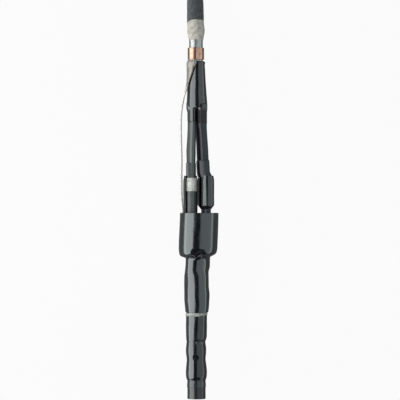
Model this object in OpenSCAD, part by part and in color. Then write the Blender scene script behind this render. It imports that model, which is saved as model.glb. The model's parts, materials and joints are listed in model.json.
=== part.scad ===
// Straight transition joint between two three-core power cables, opened up to show its layers.
// It lies along Y: the upper cable of the photograph runs to +Y, and +Z faces the camera.
// Millimetres. The floor is Z = 0.

/* [Overall] */
// Connector centre to the cut end of the upper cable
up_len = 579; // [520:1:700]
// Connector centre to the cut end of the lower cable
low_len = 617; // [590:1:740]
// Clearance all round between layers
fit = 0.2; // [0.15:0.05:0.3]
// Height of the flat on which the outer sleeve rests
rest_flat = 2; // [1:0.5:2.5]

/* [Upper cable] */
// Place of the upper cable across
up_x = -8; // [-10:0.5:-4]
// Radius of each upper conductor
conductor_r = 5.4; // [4:0.1:5.6]
// Wall of the paper on each core
paper_wall = 2.0; // [1.4:0.1:2.2]
// Wall of the paper belt
belt_wall = 1.4; // [1:0.1:2.4]
// Wall of the lead sheath
lead_wall = 2.1; // [1.5:0.1:2.6]
// Wall of the bedding under the serving
bedding_wall = 2.0; // [1.2:0.1:3]
// Wall of the outer serving
serving_wall = 1.8; // [1.2:0.1:4]
// Length over which the serving is left on
serving_len = 60; // [40:1:90]
// Length of bedding that shows
bedding_len = 60; // [40:1:80]
// Length of lead that shows above the clamp
lead_len = 24; // [10:1:40]
// How far the bedding bulges
bedding_bulge = 2.2; // [0:0.1:4]

/* [Earth connection] */
// Width of the roll spring on the lead
clamp_len = 36; // [24:1:48]
// Thickness of the roll spring
clamp_wall = 4; // [3:0.1:6]
// Width of the roll spring on the lower core
low_clamp_len = 20; // [12:1:24]
// Thickness of the roll spring on the lower core
low_clamp_wall = 3.8; // [3.4:0.1:6]
// Depth of the pocket in a roll spring for the braid
braid_pocket = 2.6; // [2.4:0.1:2.9]

/* [Upper breakout] */
// From the roll spring to the lip of the breakout
lip_gap = 4; // [3:0.5:10]
// Length of the breakout's skirt and body
boot_len = 142; // [120:1:160]
// Length of the fingers
finger_len = 46; // [30:1:60]
// Wall of the skirt at its lip
skirt_wall = 5.4; // [4:0.1:7]
// Wall of each finger
finger_wall = 1.6; // [1.2:0.1:2.2]
// Pitch radius of the fingers
finger_rp = 19.4; // [18:0.1:24]
// Pitch radius at which the upper lobes run into the skirt
lobe_rp = 9.5; // [7:0.1:10]
// Place of the fingers across
finger_x = -0.6; // [-4:0.1:2]

/* [Core tubes] */
// Wall of the oil barrier tube
barrier_wall = 2.0; // [1:0.1:2.4]
// Wall of the core tube inside a finger
tube_neck_wall = 2.4; // [1.4:0.1:3]
// Wall of the core tube in the open
tube_wall = 3.5; // [2.5:0.1:4]
// Wall of the inner joint tube
inner_wall = 1.7; // [1.2:0.1:2.6]
// Pitch radius of the open cores
run_rp = 24.6; // [24:0.1:29]
// Place of the open cores across
run_x = 1.8; // [-2:0.1:4]
// Connector centre to the upper end of the inner joint tubes
inner_up = 97; // [90:1:110]
// Connector centre to the lower end of the inner joint tubes
inner_down = 37; // [35:1:41]
// Connector centre to the lower end of the left inner joint tube
inner_down_left = 80; // [70:1:82]

/* [Connectors] */
// Length of each ferrule
ferrule_len = 82; // [60:1:82]
// Wall of each ferrule
ferrule_wall = 4.9; // [3:0.1:5.2]
// Stop in the middle of each ferrule
ferrule_stop = 4; // [2:0.5:8]
// Thickness of the screen mesh
mesh_wall = 1.0; // [0.5:0.1:1.2]
// Length of the mesh that is left on the opened core
mesh_left_len = 39; // [20:1:60]
// Wall of the joint sleeves
sleeve_wall = 3.0; // [2:0.1:4]
// Connector centre to the upper end of the joint sleeves
sleeve_up = 51; // [48:1:56]
// Connector centre to the lower end of the joint sleeves
sleeve_down = 48; // [46:1:54]
// Connector centre to the lower end of the opened sleeve
sleeve_down_left = 68; // [64:1:70]
// Height of the bevel at the upper end of a sleeve
bevel_up = 9; // [4:0.5:12]
// Height of the bevel at the lower end of a sleeve
bevel_down = 12; // [8:0.5:14]
// How far the opened sleeve has sprung open
spring_open = 2.2; // [1:0.1:3]
// Where the window in the opened sleeve begins
window_from = -25; // [-60:1:0]
// Where the window in the opened sleeve ends
window_to = 128; // [90:1:150]
// Pitch radius of the connectors
fan_rp = 29.9; // [28:0.1:34]
// Place of the connectors across
fan_x = 7.8; // [2:0.1:10]

/* [Outer sleeve] */
// Radius of the wide part
sleeve_r = 57.4; // [54:0.1:70]
// Wall of the wide part
big_wall = 4; // [3:0.1:5]
// Connector centre to the mouth
mouth_down = 60; // [52:1:70]
// Length of the wide part down to its rounded shoulder
body_len = 109; // [90:1:112]
// Rounding of the shoulder
shoulder_r = 15; // [8:0.5:20]
// Lean of the wide part across
lean = 2.1; // [0:0.1:3]
// Wall of the neck
neck_wall = 3.5; // [3:0.1:5]
// Connector centre to the end of the neck
neck_down = 357; // [345:1:365]
// Place of the neck across
neck_x = -5.6; // [-6:0.1:-5]
// Length of the sealant ring
mastic_len = 12; // [6:1:16]
// Wall of the sealant ring
mastic_wall = 1.2; // [0.8:0.1:2]

/* [Lower breakout and cores] */
// Radius of each lower conductor
low_conductor_r = 5.0; // [4:0.1:5.4]
// Wall of the insulation of each lower core
xlpe_wall = 4.0; // [2.8:0.1:4.2]
// Wall of the tube on each lower core
low_tube_wall = 0.8; // [0.6:0.1:1.2]
// Pitch radius of the lower fingers
low_rp = 17; // [16.5:0.1:19]
// Pitch radius at which the lower lobes run into the skirt
low_lobe_rp = 11; // [9:0.1:12]
// Wall of each lower finger
low_finger_wall = 1.8; // [1.2:0.1:2]
// Connector centre to the ends of the lower fingers
low_finger_down = 193; // [192:1:200]
// Length of the lower fingers
low_finger_len = 50; // [40:1:60]
// Length of the lower breakout's body and skirt
low_boot_len = 188; // [150:1:195]
// Wall of the lower skirt
low_skirt_wall = 4.6; // [4.2:0.1:4.8]

/* [Lower cable] */
// Place of the lower cable across
low_x = -6; // [-7:0.5:-5]
// Wall of the bedding
low_bedding_wall = 1.9; // [1.4:0.1:2.4]
// Diameter of the armour wires
armour_wall = 2.0; // [1.6:0.1:2.5]
// Wall of the outer sheath
sheath_wall = 3.0; // [2:0.1:4]
// How much thinner the sheath is where the tape and the end sleeve grip it
sheath_step = 1.0; // [0.8:0.1:1.4]
// Length of the sheath, from the cut end
sheath_len = 101; // [90:1:130]
// Length of the armour, from the cut end
armour_len = 182; // [175:1:184]
// Length of the bedding, from the cut end
low_bedding_len = 262; // [230:1:270]
// Width of the armour clamp
ring_len = 30; // [20:1:34]
// Thickness of the armour clamp
ring_wall = 2.3; // [1.5:0.1:3]
// Cut end to the middle of the armour clamp
ring_at = 146; // [142:1:150]
// Wall of the end sleeve
end_wall = 3.6; // [3:0.1:4.5]
// Cut end to the lower end of the end sleeve
end_at = 56; // [45:1:70]
// Length of the end sleeve
end_len = 262; // [240:1:268]
// Width of the tape below the end sleeve
tape_len = 12; // [6:1:20]
// Thickness of the tape
tape_wall = 1.6; // [1.4:0.1:2]

/* [Hidden] */
$fn = 96;
RIGHT = 50;
LEFT = 170;
BACK = 290;
ONE = 0.01;

axis_z = sleeve_r - rest_flat;
top_y = (up_len + low_len) / 2;
end_y = -top_y;
mid_y = top_y - up_len;

// Radii from the middle outwards, upper side
paper_in = conductor_r + fit;
paper_r = paper_in + paper_wall;
pack_rp = (paper_r + fit / 2) * 2 / sqrt(3);
belt_in = pack_rp + paper_r + fit;
belt_r = belt_in + belt_wall;
lead_in = belt_r + fit;
lead_r = lead_in + lead_wall;
bedding_in = lead_r + fit;
bedding_r = bedding_in + bedding_wall;
serving_in = bedding_r + fit;
serving_r = serving_in + serving_wall;
barrier_in = paper_r + fit;
barrier_r = barrier_in + barrier_wall;
tube_in = barrier_r + fit;
neck_tube_r = tube_in + tube_neck_wall;
tube_r = tube_in + tube_wall;
inner_in = tube_r + fit;
inner_r = inner_in + inner_wall;
mesh_in = inner_r + fit;
mesh_r = mesh_in + mesh_wall;
sleeve_in = mesh_r + fit;
joint_r = sleeve_in + sleeve_wall;
open_in = sleeve_in + spring_open;
open_r = open_in + sleeve_wall;
ferrule_in = max(conductor_r, low_conductor_r) + fit;
ferrule_r = ferrule_in + ferrule_wall;
wrap_in = ferrule_r + fit;
finger_in = neck_tube_r + fit;
finger_r = finger_in + finger_wall;
skirt_in = lead_r + fit;
skirt_r = skirt_in + skirt_wall;

// Radii, lower side
xlpe_in = low_conductor_r + fit;
xlpe_r = xlpe_in + xlpe_wall;
low_tube_in = xlpe_r + fit;
low_tube_r = low_tube_in + low_tube_wall;
low_pack_rp = (xlpe_r + fit / 2) * 2 / sqrt(3);
low_bedding_in = low_pack_rp + xlpe_r + fit;
low_bedding_r = low_bedding_in + low_bedding_wall;
armour_in = low_bedding_r + fit;
armour_r = armour_in + armour_wall;
sheath_in = armour_r + fit;
sheath_r = sheath_in + sheath_wall;
grip_r = sheath_r - sheath_step;
ring_in = armour_r + fit;
ring_r = ring_in + ring_wall;
low_finger_in = low_tube_r + fit;
low_finger_r = low_finger_in + low_finger_wall;
low_skirt_in = low_bedding_r + fit;
low_skirt_r = low_skirt_in + low_skirt_wall;
end_in = low_skirt_r + fit;
end_neck_r = end_in + end_wall + 1.5;
neck_in = end_neck_r + fit + abs(neck_x - low_x);
neck_r = neck_in + neck_wall;

// Places along Y
clamp_y = top_y - serving_len - bedding_len - lead_len;
lip_y = clamp_y - clamp_len - lip_gap;
crutch_y = lip_y - boot_len;
finger_y = crutch_y - finger_len;
lead_y = lip_y - 64;
belt_y = lead_y - 5;
ferrule_up = mid_y + ferrule_len / 2;
ferrule_low = mid_y - ferrule_len / 2;
mouth_y = mid_y - mouth_down;
neck_y = mid_y - neck_down;
low_finger_y = mid_y - low_finger_down;
low_crutch_y = low_finger_y - low_finger_len;
low_skirt_y = low_crutch_y - low_boot_len;
fan_low = mouth_y - 59;
low_clamp_y = mouth_y - 30;

// The cores' way through the joint: place along Y, trefoil's place across, its pitch radius.
// Stretches along Y and leaning ones take turns, and the first is along Y.
WAY = [
    [end_y, low_x, low_pack_rp],
    [low_crutch_y - 70, low_x, low_pack_rp],
    [low_crutch_y - 4, low_x, low_rp],
    [low_finger_y + 2, low_x, low_rp],
    [fan_low, fan_x, fan_rp],
    [mid_y + sleeve_up, fan_x, fan_rp],
    [mid_y + inner_up - 17, run_x, run_rp],
    [finger_y - 76, run_x, run_rp],
    [finger_y - 12, finger_x, finger_rp],
    [crutch_y + 14, finger_x, finger_rp],
    [belt_y - 5, up_x, pack_rp],
    [top_y, up_x, pack_rp]
];

// A ring, or a disc where the bore is 0
module ring2(ro, ri) {
    difference() {
        circle(ro);
        if (ri > 0) circle(ri);
    }
}

// A turned piece whose axis runs along Y through x and z; its points are radius and place along Y
module turned(x, z, pts) {
    translate([x, 0, axis_z + z]) rotate([-90, 0, 0]) rotate_extrude() polygon(pts);
}

module tube_y(x, z, y0, y1, ro, ri) {
    translate([x, y0, axis_z + z]) rotate([-90, 0, 0]) linear_extrude(y1 - y0) ring2(ro, ri);
}

function spot(s, a) = [s[0], s[1] + s[2] * cos(a), s[2] * sin(a)];
function point(s, a) = [s[1] + s[2] * cos(a), s[0], axis_z + s[2] * sin(a)];
function unit(v) = v / norm(v);
// Angle of the bend at a station of the way
function bend_at(i, a) = let(
    u = unit(point(WAY[i], a) - point(WAY[i - 1], a)), v = unit(point(WAY[i + 1], a) - point(WAY[i], a))
) acos(min(1, u * v));
// How far a rod of radius r stops before a bend, and the ball that joins it to the next
function stop_at(i, a, r) = r * tan(bend_at(i, a) / 2) + 0.2;
function ball_at(i, a, r) = sqrt(r * r + pow(stop_at(i, a, r), 2)) + 0.1;

// Turns a piece that stands along Z so that it points along v
module aim(p, v) {
    translate(p) rotate([0, acos(v[2] / norm(v)), atan2(v[1], v[0])]) children();
}

// A rod that follows one core's way between y0 and y1
module line(a, y0, y1, r) {
    n = len(WAY) - 1;
    intersection() {
        union() for (i = [0 : n - 1]) {
            p = point(WAY[i], a);
            q = point(WAY[i + 1], a);
            v = unit(q - p);
            s0 = i == 0 ? -2 : max(stop_at(i, a, r), (y0 - r / 2 - 2 - p[1]) / v[1]);
            s1 = i == n - 1 ? norm(q - p) + 2 : min(norm(q - p) - stop_at(i + 1, a, r), (y1 + r / 2 + 2 - p[1]) / v[1]);
            if (s1 > s0 + ONE) aim(p + v * s0, v) cylinder(h = s1 - s0, r = r);
            if (i < n - 1 && q[1] > y0 - r / 2 - 2 && q[1] < y1 + r / 2 + 2)
                aim(q, v + unit(point(WAY[i + 2], a) - q)) sphere(r = ball_at(i + 1, a, r));
        }
        translate([-200, y0, -100]) cube([400, y1 - y0, 400]);
    }
}

// A tube or rod that follows one core's way
module along(a, y0, y1, ro, ri) {
    if (ri > 0) difference() {
        line(a, y0, y1, ro);
        line(a, y0 - 1, y1 + 1, ri);
    }
    else line(a, y0, y1, ro);
}

// Points of a quarter round from radius r0 down to the side, for the shoulder of a turned piece
function round_pts(cx, cy, r, a0, a1, n) = [
    for (i = [0 : n]) let(a = a0 + (a1 - a0) * i / n) [cx + r * cos(a), cy + r * sin(a)]
];

// Wedge about an axis along Y, between two angles in the X-Z plane
module wedge(x, z, a0, a1, y0, y1, r) {
    translate([x, y1, axis_z + z]) rotate([90, 0, 0]) linear_extrude(y1 - y0)
        polygon(concat([[0, 0]], [for (i = [0 : 6]) let(a = a0 + (a1 - a0) * i / 6) [r * cos(a), r * sin(a)]]));
}

// A roll spring with a pocket on its inside for the braid
module roll_spring(x, z, y0, y1, r_in, r_out, pocket_r, a0, a1) {
    difference() {
        tube_y(x, z, y0, y1, r_out, r_in);
        intersection() {
            tube_y(x, z, y0 - 1, y1 + 1, pocket_r, 0);
            wedge(x, z, a0, a1, y0 - 1, y1 + 1, 2 * r_out);
        }
    }
}

// Strings that fill the space between three cores
module filler(x, rp, hole_r, r, y0, y1) {
    difference() {
        tube_y(x, 0, y0, y1, r, 0);
        for (a = [RIGHT, LEFT, BACK])
            tube_y(x + rp * cos(a), rp * sin(a), y0 - 1, y1 + 1, hole_r, 0);
    }
}

// Upper cable

module upper_serving() color("#3c4042") tube_y(up_x, 0, top_y - serving_len, top_y, serving_r, serving_in);

module upper_bedding() color("#c9c3b4") {
    y1 = top_y - serving_len;
    y0 = y1 - bedding_len;
    turned(up_x, 0, [
        [bedding_in, top_y], [bedding_r, top_y], [bedding_r, y1 - 1],
        [bedding_r + 0.7 * bedding_bulge, y1 - 6], [bedding_r + bedding_bulge, y1 - 0.45 * bedding_len],
        [bedding_r + bedding_bulge, y1 - 0.6 * bedding_len], [bedding_r + 0.3 * bedding_bulge, y1 - 0.78 * bedding_len],
        [lead_r + 0.45 * bedding_wall + fit, y0], [bedding_in, y0]
    ]);
}

module lead_sheath() color("#a9adad") tube_y(up_x, 0, lead_y, top_y, lead_r, lead_in);

module belt_insulation() color("#b99a63") tube_y(up_x, 0, belt_y, top_y, belt_r, belt_in);

module upper_filler() color("#a98c58") filler(up_x, pack_rp, paper_r + fit, belt_in - fit, lead_y + 2, top_y);

// Earth connection

module earth_clamp() color("#c98d63")
    roll_spring(up_x, 0, clamp_y - clamp_len, clamp_y, lead_r + fit, lead_r + fit + clamp_wall,
        lead_r + fit + braid_pocket, 80, 184);

left_low = spot([0, fan_x, fan_rp], LEFT);

module lower_earth_clamp() color("#c98d63")
    roll_spring(left_low[1], left_low[2], low_clamp_y - low_clamp_len, low_clamp_y, low_tube_r + fit,
        low_tube_r + fit + low_clamp_wall, low_tube_r + fit + braid_pocket, 130, 230);

// A braid's rings: place along Y, middle point x and z, radius and angle of its bow, half angle, half thickness
function on_cable(y, x, r, a, half, t) = [y, x + r * cos(a), r * sin(a), r, a, half, t];
function free(y, x, z, a, w, t) = [run_y(y), braid_x(x), z, 12, a, w / 12 * 180 / PI, t];
// The free course is given for a lip at 414, a mouth at -41 and an outermost place across of -50,
// and it stretches with the real ones
function run_y(y) = mouth_y + (y + 41) * (y < -41 ? 1 : (lip_y - mouth_y) / 455);
braid_out = up_x - (left_low[1] - spring_open - open_r - 4.15);
function braid_x(x) = up_x + (x + 8) * braid_out / 42;
BRAID = [
    on_cable(clamp_y - 4, up_x, lead_r + fit + 1.2, 132, 46, 1.0),
    on_cable(clamp_y - 20, up_x, lead_r + fit + 1.2, 132, 46, 1.0),
    on_cable(clamp_y - 34, up_x, lead_r + fit + 1.2, 132, 46, 1.0),
    on_cable(clamp_y - 37, up_x, lead_r + fit + 2.0, 132, 46, 1.0),
    on_cable(lip_y - 1, up_x, lead_r + fit + 4.6, 133, 46, 1.0),
    on_cable(lip_y - 4, up_x, skirt_r + 1.2, 134, 46, 1.0),
    on_cable(lip_y - 8, up_x, skirt_r + 2.2, 135, 45, 1.1),
    on_cable(run_y(396), up_x + 0.6, skirt_r + 2.8, 140, 38, 1.2),
    on_cable(run_y(378), up_x + 1, skirt_r + 3, 147, 31, 1.2),
    on_cable(run_y(360), up_x + 1.4, skirt_r + 3.4, 154, 24, 1.3),
    on_cable(run_y(345), up_x + 1.8, skirt_r + 4.2, 160, 16, 1.4),
    free(334, -36, 9, 150, 5.0, 1.5),
    free(326, -39, 7, 138, 4.2, 1.7),
    free(318, -42, 5, 126, 3.8, 1.8),
    free(306, -46, 3, 116, 3.6, 1.8),
    free(294, -48, 1, 108, 3.6, 1.8),
    free(280, -50, -1, 102, 3.6, 1.8),
    free(260, -52, -4, 100, 3.6, 1.8),
    free(236, -53, -7, 98, 3.6, 1.8),
    free(212, -54, -9, 98, 3.6, 1.8),
    free(188, -54, -11, 98, 3.6, 1.8),
    free(162, -53, -12, 98, 3.6, 1.8),
    free(136, -52, -13, 98, 3.6, 1.8),
    free(110, -51, -13, 98, 3.6, 1.8),
    free(84, -51, -13, 98, 3.6, 1.8),
    free(58, -50, -12, 98, 3.6, 1.8),
    free(32, -50, -10, 98, 3.6, 1.8),
    free(8, -50, -8, 98, 3.6, 1.8),
    free(-14, -49.5, -7, 104, 3.5, 1.8),
    free(-30, -48.8, -5, 118, 3.4, 1.7),
    free(-42, -48.1, -2.5, 140, 3.4, 1.3),
    free(-50, -47.1, -1, 150, 3.4, 1.2),
    free(-57, -43.6, 0.5, 160, 3.6, 1.1),
    free(-64, -39, 3, 172, 4.0, 1.1),
    [run_y(-70), left_low[1] - 11.9, left_low[2], 11.9, 180, 20, 0.9],
    [run_y(-80), left_low[1] - 11.8, left_low[2], 11.8, 180, 22, 0.9],
    [run_y(-90), left_low[1] - 11.8, left_low[2], 11.8, 180, 22, 0.9]
];

SIDE = 5;
function ring_pts(b) = let(cx = b[1] - b[3] * cos(b[4]), cz = b[2] - b[3] * sin(b[4])) concat(
    [for (i = [0 : SIDE]) let(a = b[4] + b[5] - 2 * b[5] * i / SIDE)
        [cx + (b[3] + b[6]) * cos(a), b[0], axis_z + cz + (b[3] + b[6]) * sin(a)]],
    [for (i = [0 : SIDE]) let(a = b[4] - b[5] + 2 * b[5] * i / SIDE)
        [cx + (b[3] - b[6]) * cos(a), b[0], axis_z + cz + (b[3] - b[6]) * sin(a)]]
);

module earth_braid() color("#cfcbc2") {
    n = 2 * (SIDE + 1);
    rows = len(BRAID);
    pts = [for (b = BRAID) each ring_pts(b)];
    sides = [for (j = [0 : rows - 2]) for (i = [0 : n - 1])
        let(a = j * n + i, b = j * n + (i + 1) % n, c = (j + 1) * n + (i + 1) % n, d = (j + 1) * n + i)
        each [[a, c, b], [a, d, c]]];
    cap = [for (i = [0 : SIDE - 1]) each [[i, i + 1, n - 1 - i], [i + 1, n - 2 - i, n - 1 - i]]];
    last = (rows - 1) * n;
    caps = [for (f = cap) each [f, [last + f[2], last + f[1], last + f[0]]]];
    polyhedron(points = pts, faces = concat(sides, caps));
}

// Breakouts

module rod(p, q, r) {
    v = [q[1] - p[1], q[0] - p[0], q[2] - p[2]];
    aim([p[1], p[0], axis_z + p[2]], v) cylinder(h = norm(v), r = r);
}

// Fingers from y0 to a bend at y1, each with a thinner lobe that leans in to y2
module fingers(y0, y1, y2, x, rp, x2, rp2, r, thin = 1.2) {
    s = y1 > y0 ? 1 : -1;
    for (a = [RIGHT, LEFT, BACK]) {
        p = spot([y1, x, rp], a);
        turned(p[1], p[2], [[0, y0], [r, y0], [r, y1], [r - 6, y1 + s * 9], [0, y1 + s * 9]]);
        rod(spot([y1 - s * 8, x, rp], a), spot([y2, x2, rp2], a), r - thin);
    }
}

module upper_breakout() color("#1b1d20") {
    l = lip_y;
    c = crutch_y;
    x = up_x + 2.5;
    difference() {
        union() {
            turned(x, 0, [
                [0, l], [skirt_r - 4.2, l], [skirt_r - 2, l - 1.5], [skirt_r - 0.7, l - 4.5],
                [skirt_r, l - 9], [skirt_r, c + 50], [skirt_r - 3, c + 14], [skirt_r - 12, c], [0, c]
            ]);
            fingers(finger_y, c + 34, c + 92, finger_x, finger_rp, x, lobe_rp, finger_r);
        }
        tube_y(up_x, 0, c + 44, l + 1, skirt_in, 0);
        turned(x + 1.5, 0, [[0, c + 46], [skirt_in - 1.5, c + 46], [skirt_in - 9, c + 9], [0, c + 9]]);
        fingers(finger_y - 1, c + 30, c + 82, finger_x, finger_rp, x, lobe_rp, finger_in);
    }
}

module lower_breakout() color("#1b1d20") {
    c = low_crutch_y;
    l = low_skirt_y;
    difference() {
        union() {
            turned(low_x, 0, [
                [0, c], [low_skirt_r - 14, c], [low_skirt_r - 8, c - 5], [low_skirt_r - 2, c - 24],
                [low_skirt_r, c - 40], [low_skirt_r, l], [0, l]
            ]);
            fingers(low_finger_y, c - 12, c - 70, low_x, low_rp, low_x, low_lobe_rp, low_finger_r);
        }
        turned(low_x, 0, [
            [0, c - 8], [low_skirt_in - 8, c - 8], [low_skirt_in + 1.2, c - 26], [low_skirt_in + 1.2, c - 78],
            [low_skirt_in, c - 84], [low_skirt_in, l - 1], [0, l - 1]
        ]);
        fingers(low_finger_y + 1, c - 12, c - 64, low_x, low_rp, low_x, low_lobe_rp + 0.3, low_finger_in, 0.6);
    }
}

// Cores, upper side

module upper_conductor(a) color("#b9bcbe") along(a, mid_y + ferrule_stop / 2 + fit, top_y, conductor_r, 0);
module paper_insulation(a) color("#b08a50") along(a, ferrule_up + 2, top_y, paper_r, paper_in);
module oil_barrier(a) color("#d8c9a0") along(a, ferrule_up + 1.5, crutch_y + 12, barrier_r, barrier_in);
module core_tube(a) color("#33373a") difference() {
    union() {
        line(a, ferrule_up + 1, finger_y - 3, tube_r);
        line(a, finger_y - 5, crutch_y + 10, neck_tube_r);
    }
    line(a, ferrule_up, crutch_y + 11, tube_in);
}
module ferrule(a) color("#c3c6c8") {
    p = spot([mid_y, fan_x, fan_rp], a);
    turned(p[1], p[2], [
        [0, mid_y - ferrule_stop / 2], [0, mid_y + ferrule_stop / 2], [ferrule_in, mid_y + ferrule_stop / 2],
        [ferrule_in, ferrule_up], [ferrule_r - 0.8, ferrule_up], [ferrule_r, ferrule_up - 2],
        [ferrule_r, ferrule_low + 2], [ferrule_r - 0.8, ferrule_low], [ferrule_in, ferrule_low],
        [ferrule_in, mid_y - ferrule_stop / 2]
    ]);
}
module ferrule_wrap(a) color("#d9b64a") {
    p = spot([mid_y, fan_x, fan_rp], a);
    tube_y(p[1], p[2], ferrule_low + 3, ferrule_up, tube_r, wrap_in);
}
module inner_tube(a, low) color("#3f4447") along(a, mid_y - low, mid_y + inner_up, inner_r, inner_in);
module screen_mesh(a, y0, y1) color("#c4c8c8") {
    p = spot([mid_y, fan_x, fan_rp], a);
    tube_y(p[1], p[2], y0, y1, mesh_r, mesh_in);
}
module joint_sleeve(a) color("#25282b") {
    p = spot([mid_y, fan_x, fan_rp], a);
    y1 = mid_y + sleeve_up;
    y0 = mid_y - sleeve_down;
    turned(p[1], p[2], [
        [sleeve_in, y1], [joint_r - 2, y1], [joint_r, y1 - bevel_up], [joint_r, y0 + bevel_down],
        [low_tube_r + fit + 1.4, y0], [low_tube_r + fit, y0], [low_tube_r + fit, y0 + 1.5],
        [sleeve_in, mid_y - inner_down - 1]
    ]);
}
module left_sleeve_opened() color("#25282b") {
    p = spot([mid_y, fan_x, fan_rp], LEFT);
    x = p[1] - spring_open;
    y1 = mid_y + sleeve_up;
    y0 = mid_y - sleeve_down_left;
    difference() {
        turned(x, p[2], [
            [open_in, y1], [open_r - 2, y1], [open_r, y1 - bevel_up], [open_r - 1, y0], [open_in, y0]
        ]);
        wedge(x, p[2], window_from, window_to, y0 - 1, y1 + 1, 2 * open_r);
    }
}

// Cores, lower side

module lower_conductor(a) color("#b9bcbe") along(a, end_y, mid_y - ferrule_stop / 2 - fit, low_conductor_r, 0);
module lower_insulation(a) color("#e6e2d6") along(a, end_y, ferrule_low - 2, xlpe_r, xlpe_in);
module lower_tube(a) color("#2c2f31") along(a, low_crutch_y + 2, ferrule_low - 4, low_tube_r, low_tube_in);

// Outer sleeves

module outer_sleeve() color("#1b1d20") {
    m = mouth_y - body_len / 2;
    h = body_len / 2;
    bore = sleeve_r - big_wall;
    low = -h - shoulder_r - 3;
    difference() {
        union() {
            translate([0, m, axis_z]) rotate([0, 0, -lean]) rotate([-90, 0, 0]) rotate_extrude()
                polygon(concat([[0, h], [sleeve_r, h]],
                    round_pts(sleeve_r - shoulder_r, -h, shoulder_r, 0, -70, 7),
                    [[neck_r - 3, low], [neck_r - 3, low - 4], [0, low - 4]]));
            turned(neck_x, 0, [
                [0, m + low + 12], [neck_r - 2, m + low + 12], [neck_r - 0.6, m + low - 3], [neck_r - 1, m + low - 14],
                [neck_r, m + low - 38], [neck_r + 0.7, m + low - 62], [neck_r + 0.7, neck_y + 54],
                [neck_r + 0.2, neck_y + 27], [neck_r - 1.5, neck_y], [0, neck_y]
            ]);
        }
        translate([0, m, axis_z]) rotate([0, 0, -lean]) rotate([-90, 0, 0]) rotate_extrude()
            polygon(concat([[0, h + 5], [bore, h + 5]],
                round_pts(bore - shoulder_r + 3, -h, shoulder_r - 3, 0, -70, 7),
                [[neck_in - 4, low + big_wall], [0, low + big_wall]]));
        turned(neck_x, 0, [[0, neck_y - 1], [neck_in, neck_y - 1], [neck_in, m + low + 2], [neck_in - 4, m + low + 14], [0, m + low + 14]]);
        translate([-2 * sleeve_r, neck_y - 50, -20]) cube([4 * sleeve_r, body_len + 400, 20]);
    }
}

end_groove_r = end_neck_r - mastic_wall - 0.8;

module seal_mastic() color("#b9b4a2")
    tube_y(low_x, 0, neck_y - fit - mastic_len, neck_y - fit, end_groove_r + fit + mastic_wall, end_groove_r + fit);

module end_sleeve() color("#1b1d20") {
    e = end_y + end_at;
    t = e + end_len;
    s = end_y + sheath_len;
    r0 = end_y + ring_at - ring_len / 2;
    r1 = end_y + ring_at + ring_len / 2;
    b = low_skirt_y;
    difference() {
        turned(low_x, 0, [
            [0, t], [end_neck_r - 1.5, t], [end_neck_r, t - 3], [end_neck_r, neck_y + 3], [end_groove_r, neck_y + 0.3],
            [end_groove_r, neck_y - mastic_len - 1], [end_in + end_wall + 0.8, neck_y - mastic_len - 3],
            [end_in + end_wall + 0.7, b + 14], [end_in + end_wall, b + 2], [sheath_in + end_wall - 0.4, b - 12],
            [sheath_in + end_wall - 0.4, b - 17], [ring_r + fit + end_wall - 0.6, r1 - 5],
            [ring_r + fit + end_wall, r1 - 11], [ring_r + fit + end_wall, r0 + 11],
            [ring_r + fit + end_wall - 0.8, r0 + 2], [sheath_in + end_wall + 0.2, r0 - 12],
            [sheath_in + end_wall + 0.3, s + 18], [sheath_r + fit + end_wall - 1, s + 5],
            [sheath_r + fit + end_wall + 0.5, s - 14], [sheath_r + fit + end_wall + 0.6, e + 18],
            [sheath_r + fit + end_wall - 0.4, e + 6], [sheath_r + fit + 2, e + 0.8], [sheath_r + fit + 1, e], [0, e]
        ]);
        turned(low_x, 0, [
            [0, t + 1], [end_in, t + 1], [end_in, b - 1], [sheath_in, b - 9], [sheath_in, r1 + 3],
            [ring_r + fit, r1 + 0.5], [ring_r + fit, r0 - 0.5], [sheath_in, r0 - 4], [sheath_in, s + 5],
            [grip_r + fit, s + 0.5], [grip_r + fit, e - 1], [0, e - 1]
        ]);
    }
}

// Lower cable

module armour_clamp() color("#9a9d9f")
    tube_y(low_x, 0, end_y + ring_at - ring_len / 2, end_y + ring_at + ring_len / 2, ring_r, ring_in);
module lower_bedding() color("#2c2f31") tube_y(low_x, 0, end_y, end_y + low_bedding_len, low_bedding_r, low_bedding_in);
module armour_wires() color("#9a9d9f") tube_y(low_x, 0, end_y, end_y + armour_len, armour_r, armour_in);
module lower_sheath() color("#2b2e30") turned(low_x, 0, [
    [sheath_in, end_y], [sheath_r - 0.5, end_y], [sheath_r, end_y + 0.5],
    [sheath_r, end_y + end_at - 9.5 - tape_len], [grip_r, end_y + end_at - 9.5 - tape_len],
    [grip_r, end_y + sheath_len], [sheath_in, end_y + sheath_len]
]);
module lower_filler() color("#4a4d4f")
    filler(low_x, low_pack_rp, xlpe_r + fit, low_bedding_in - fit, end_y, end_y + low_bedding_len - 2);
module end_tape() color("#1e2022")
    tube_y(low_x, 0, end_y + end_at - 9 - tape_len, end_y + end_at - 9, grip_r + fit + tape_wall, grip_r + fit);

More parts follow.
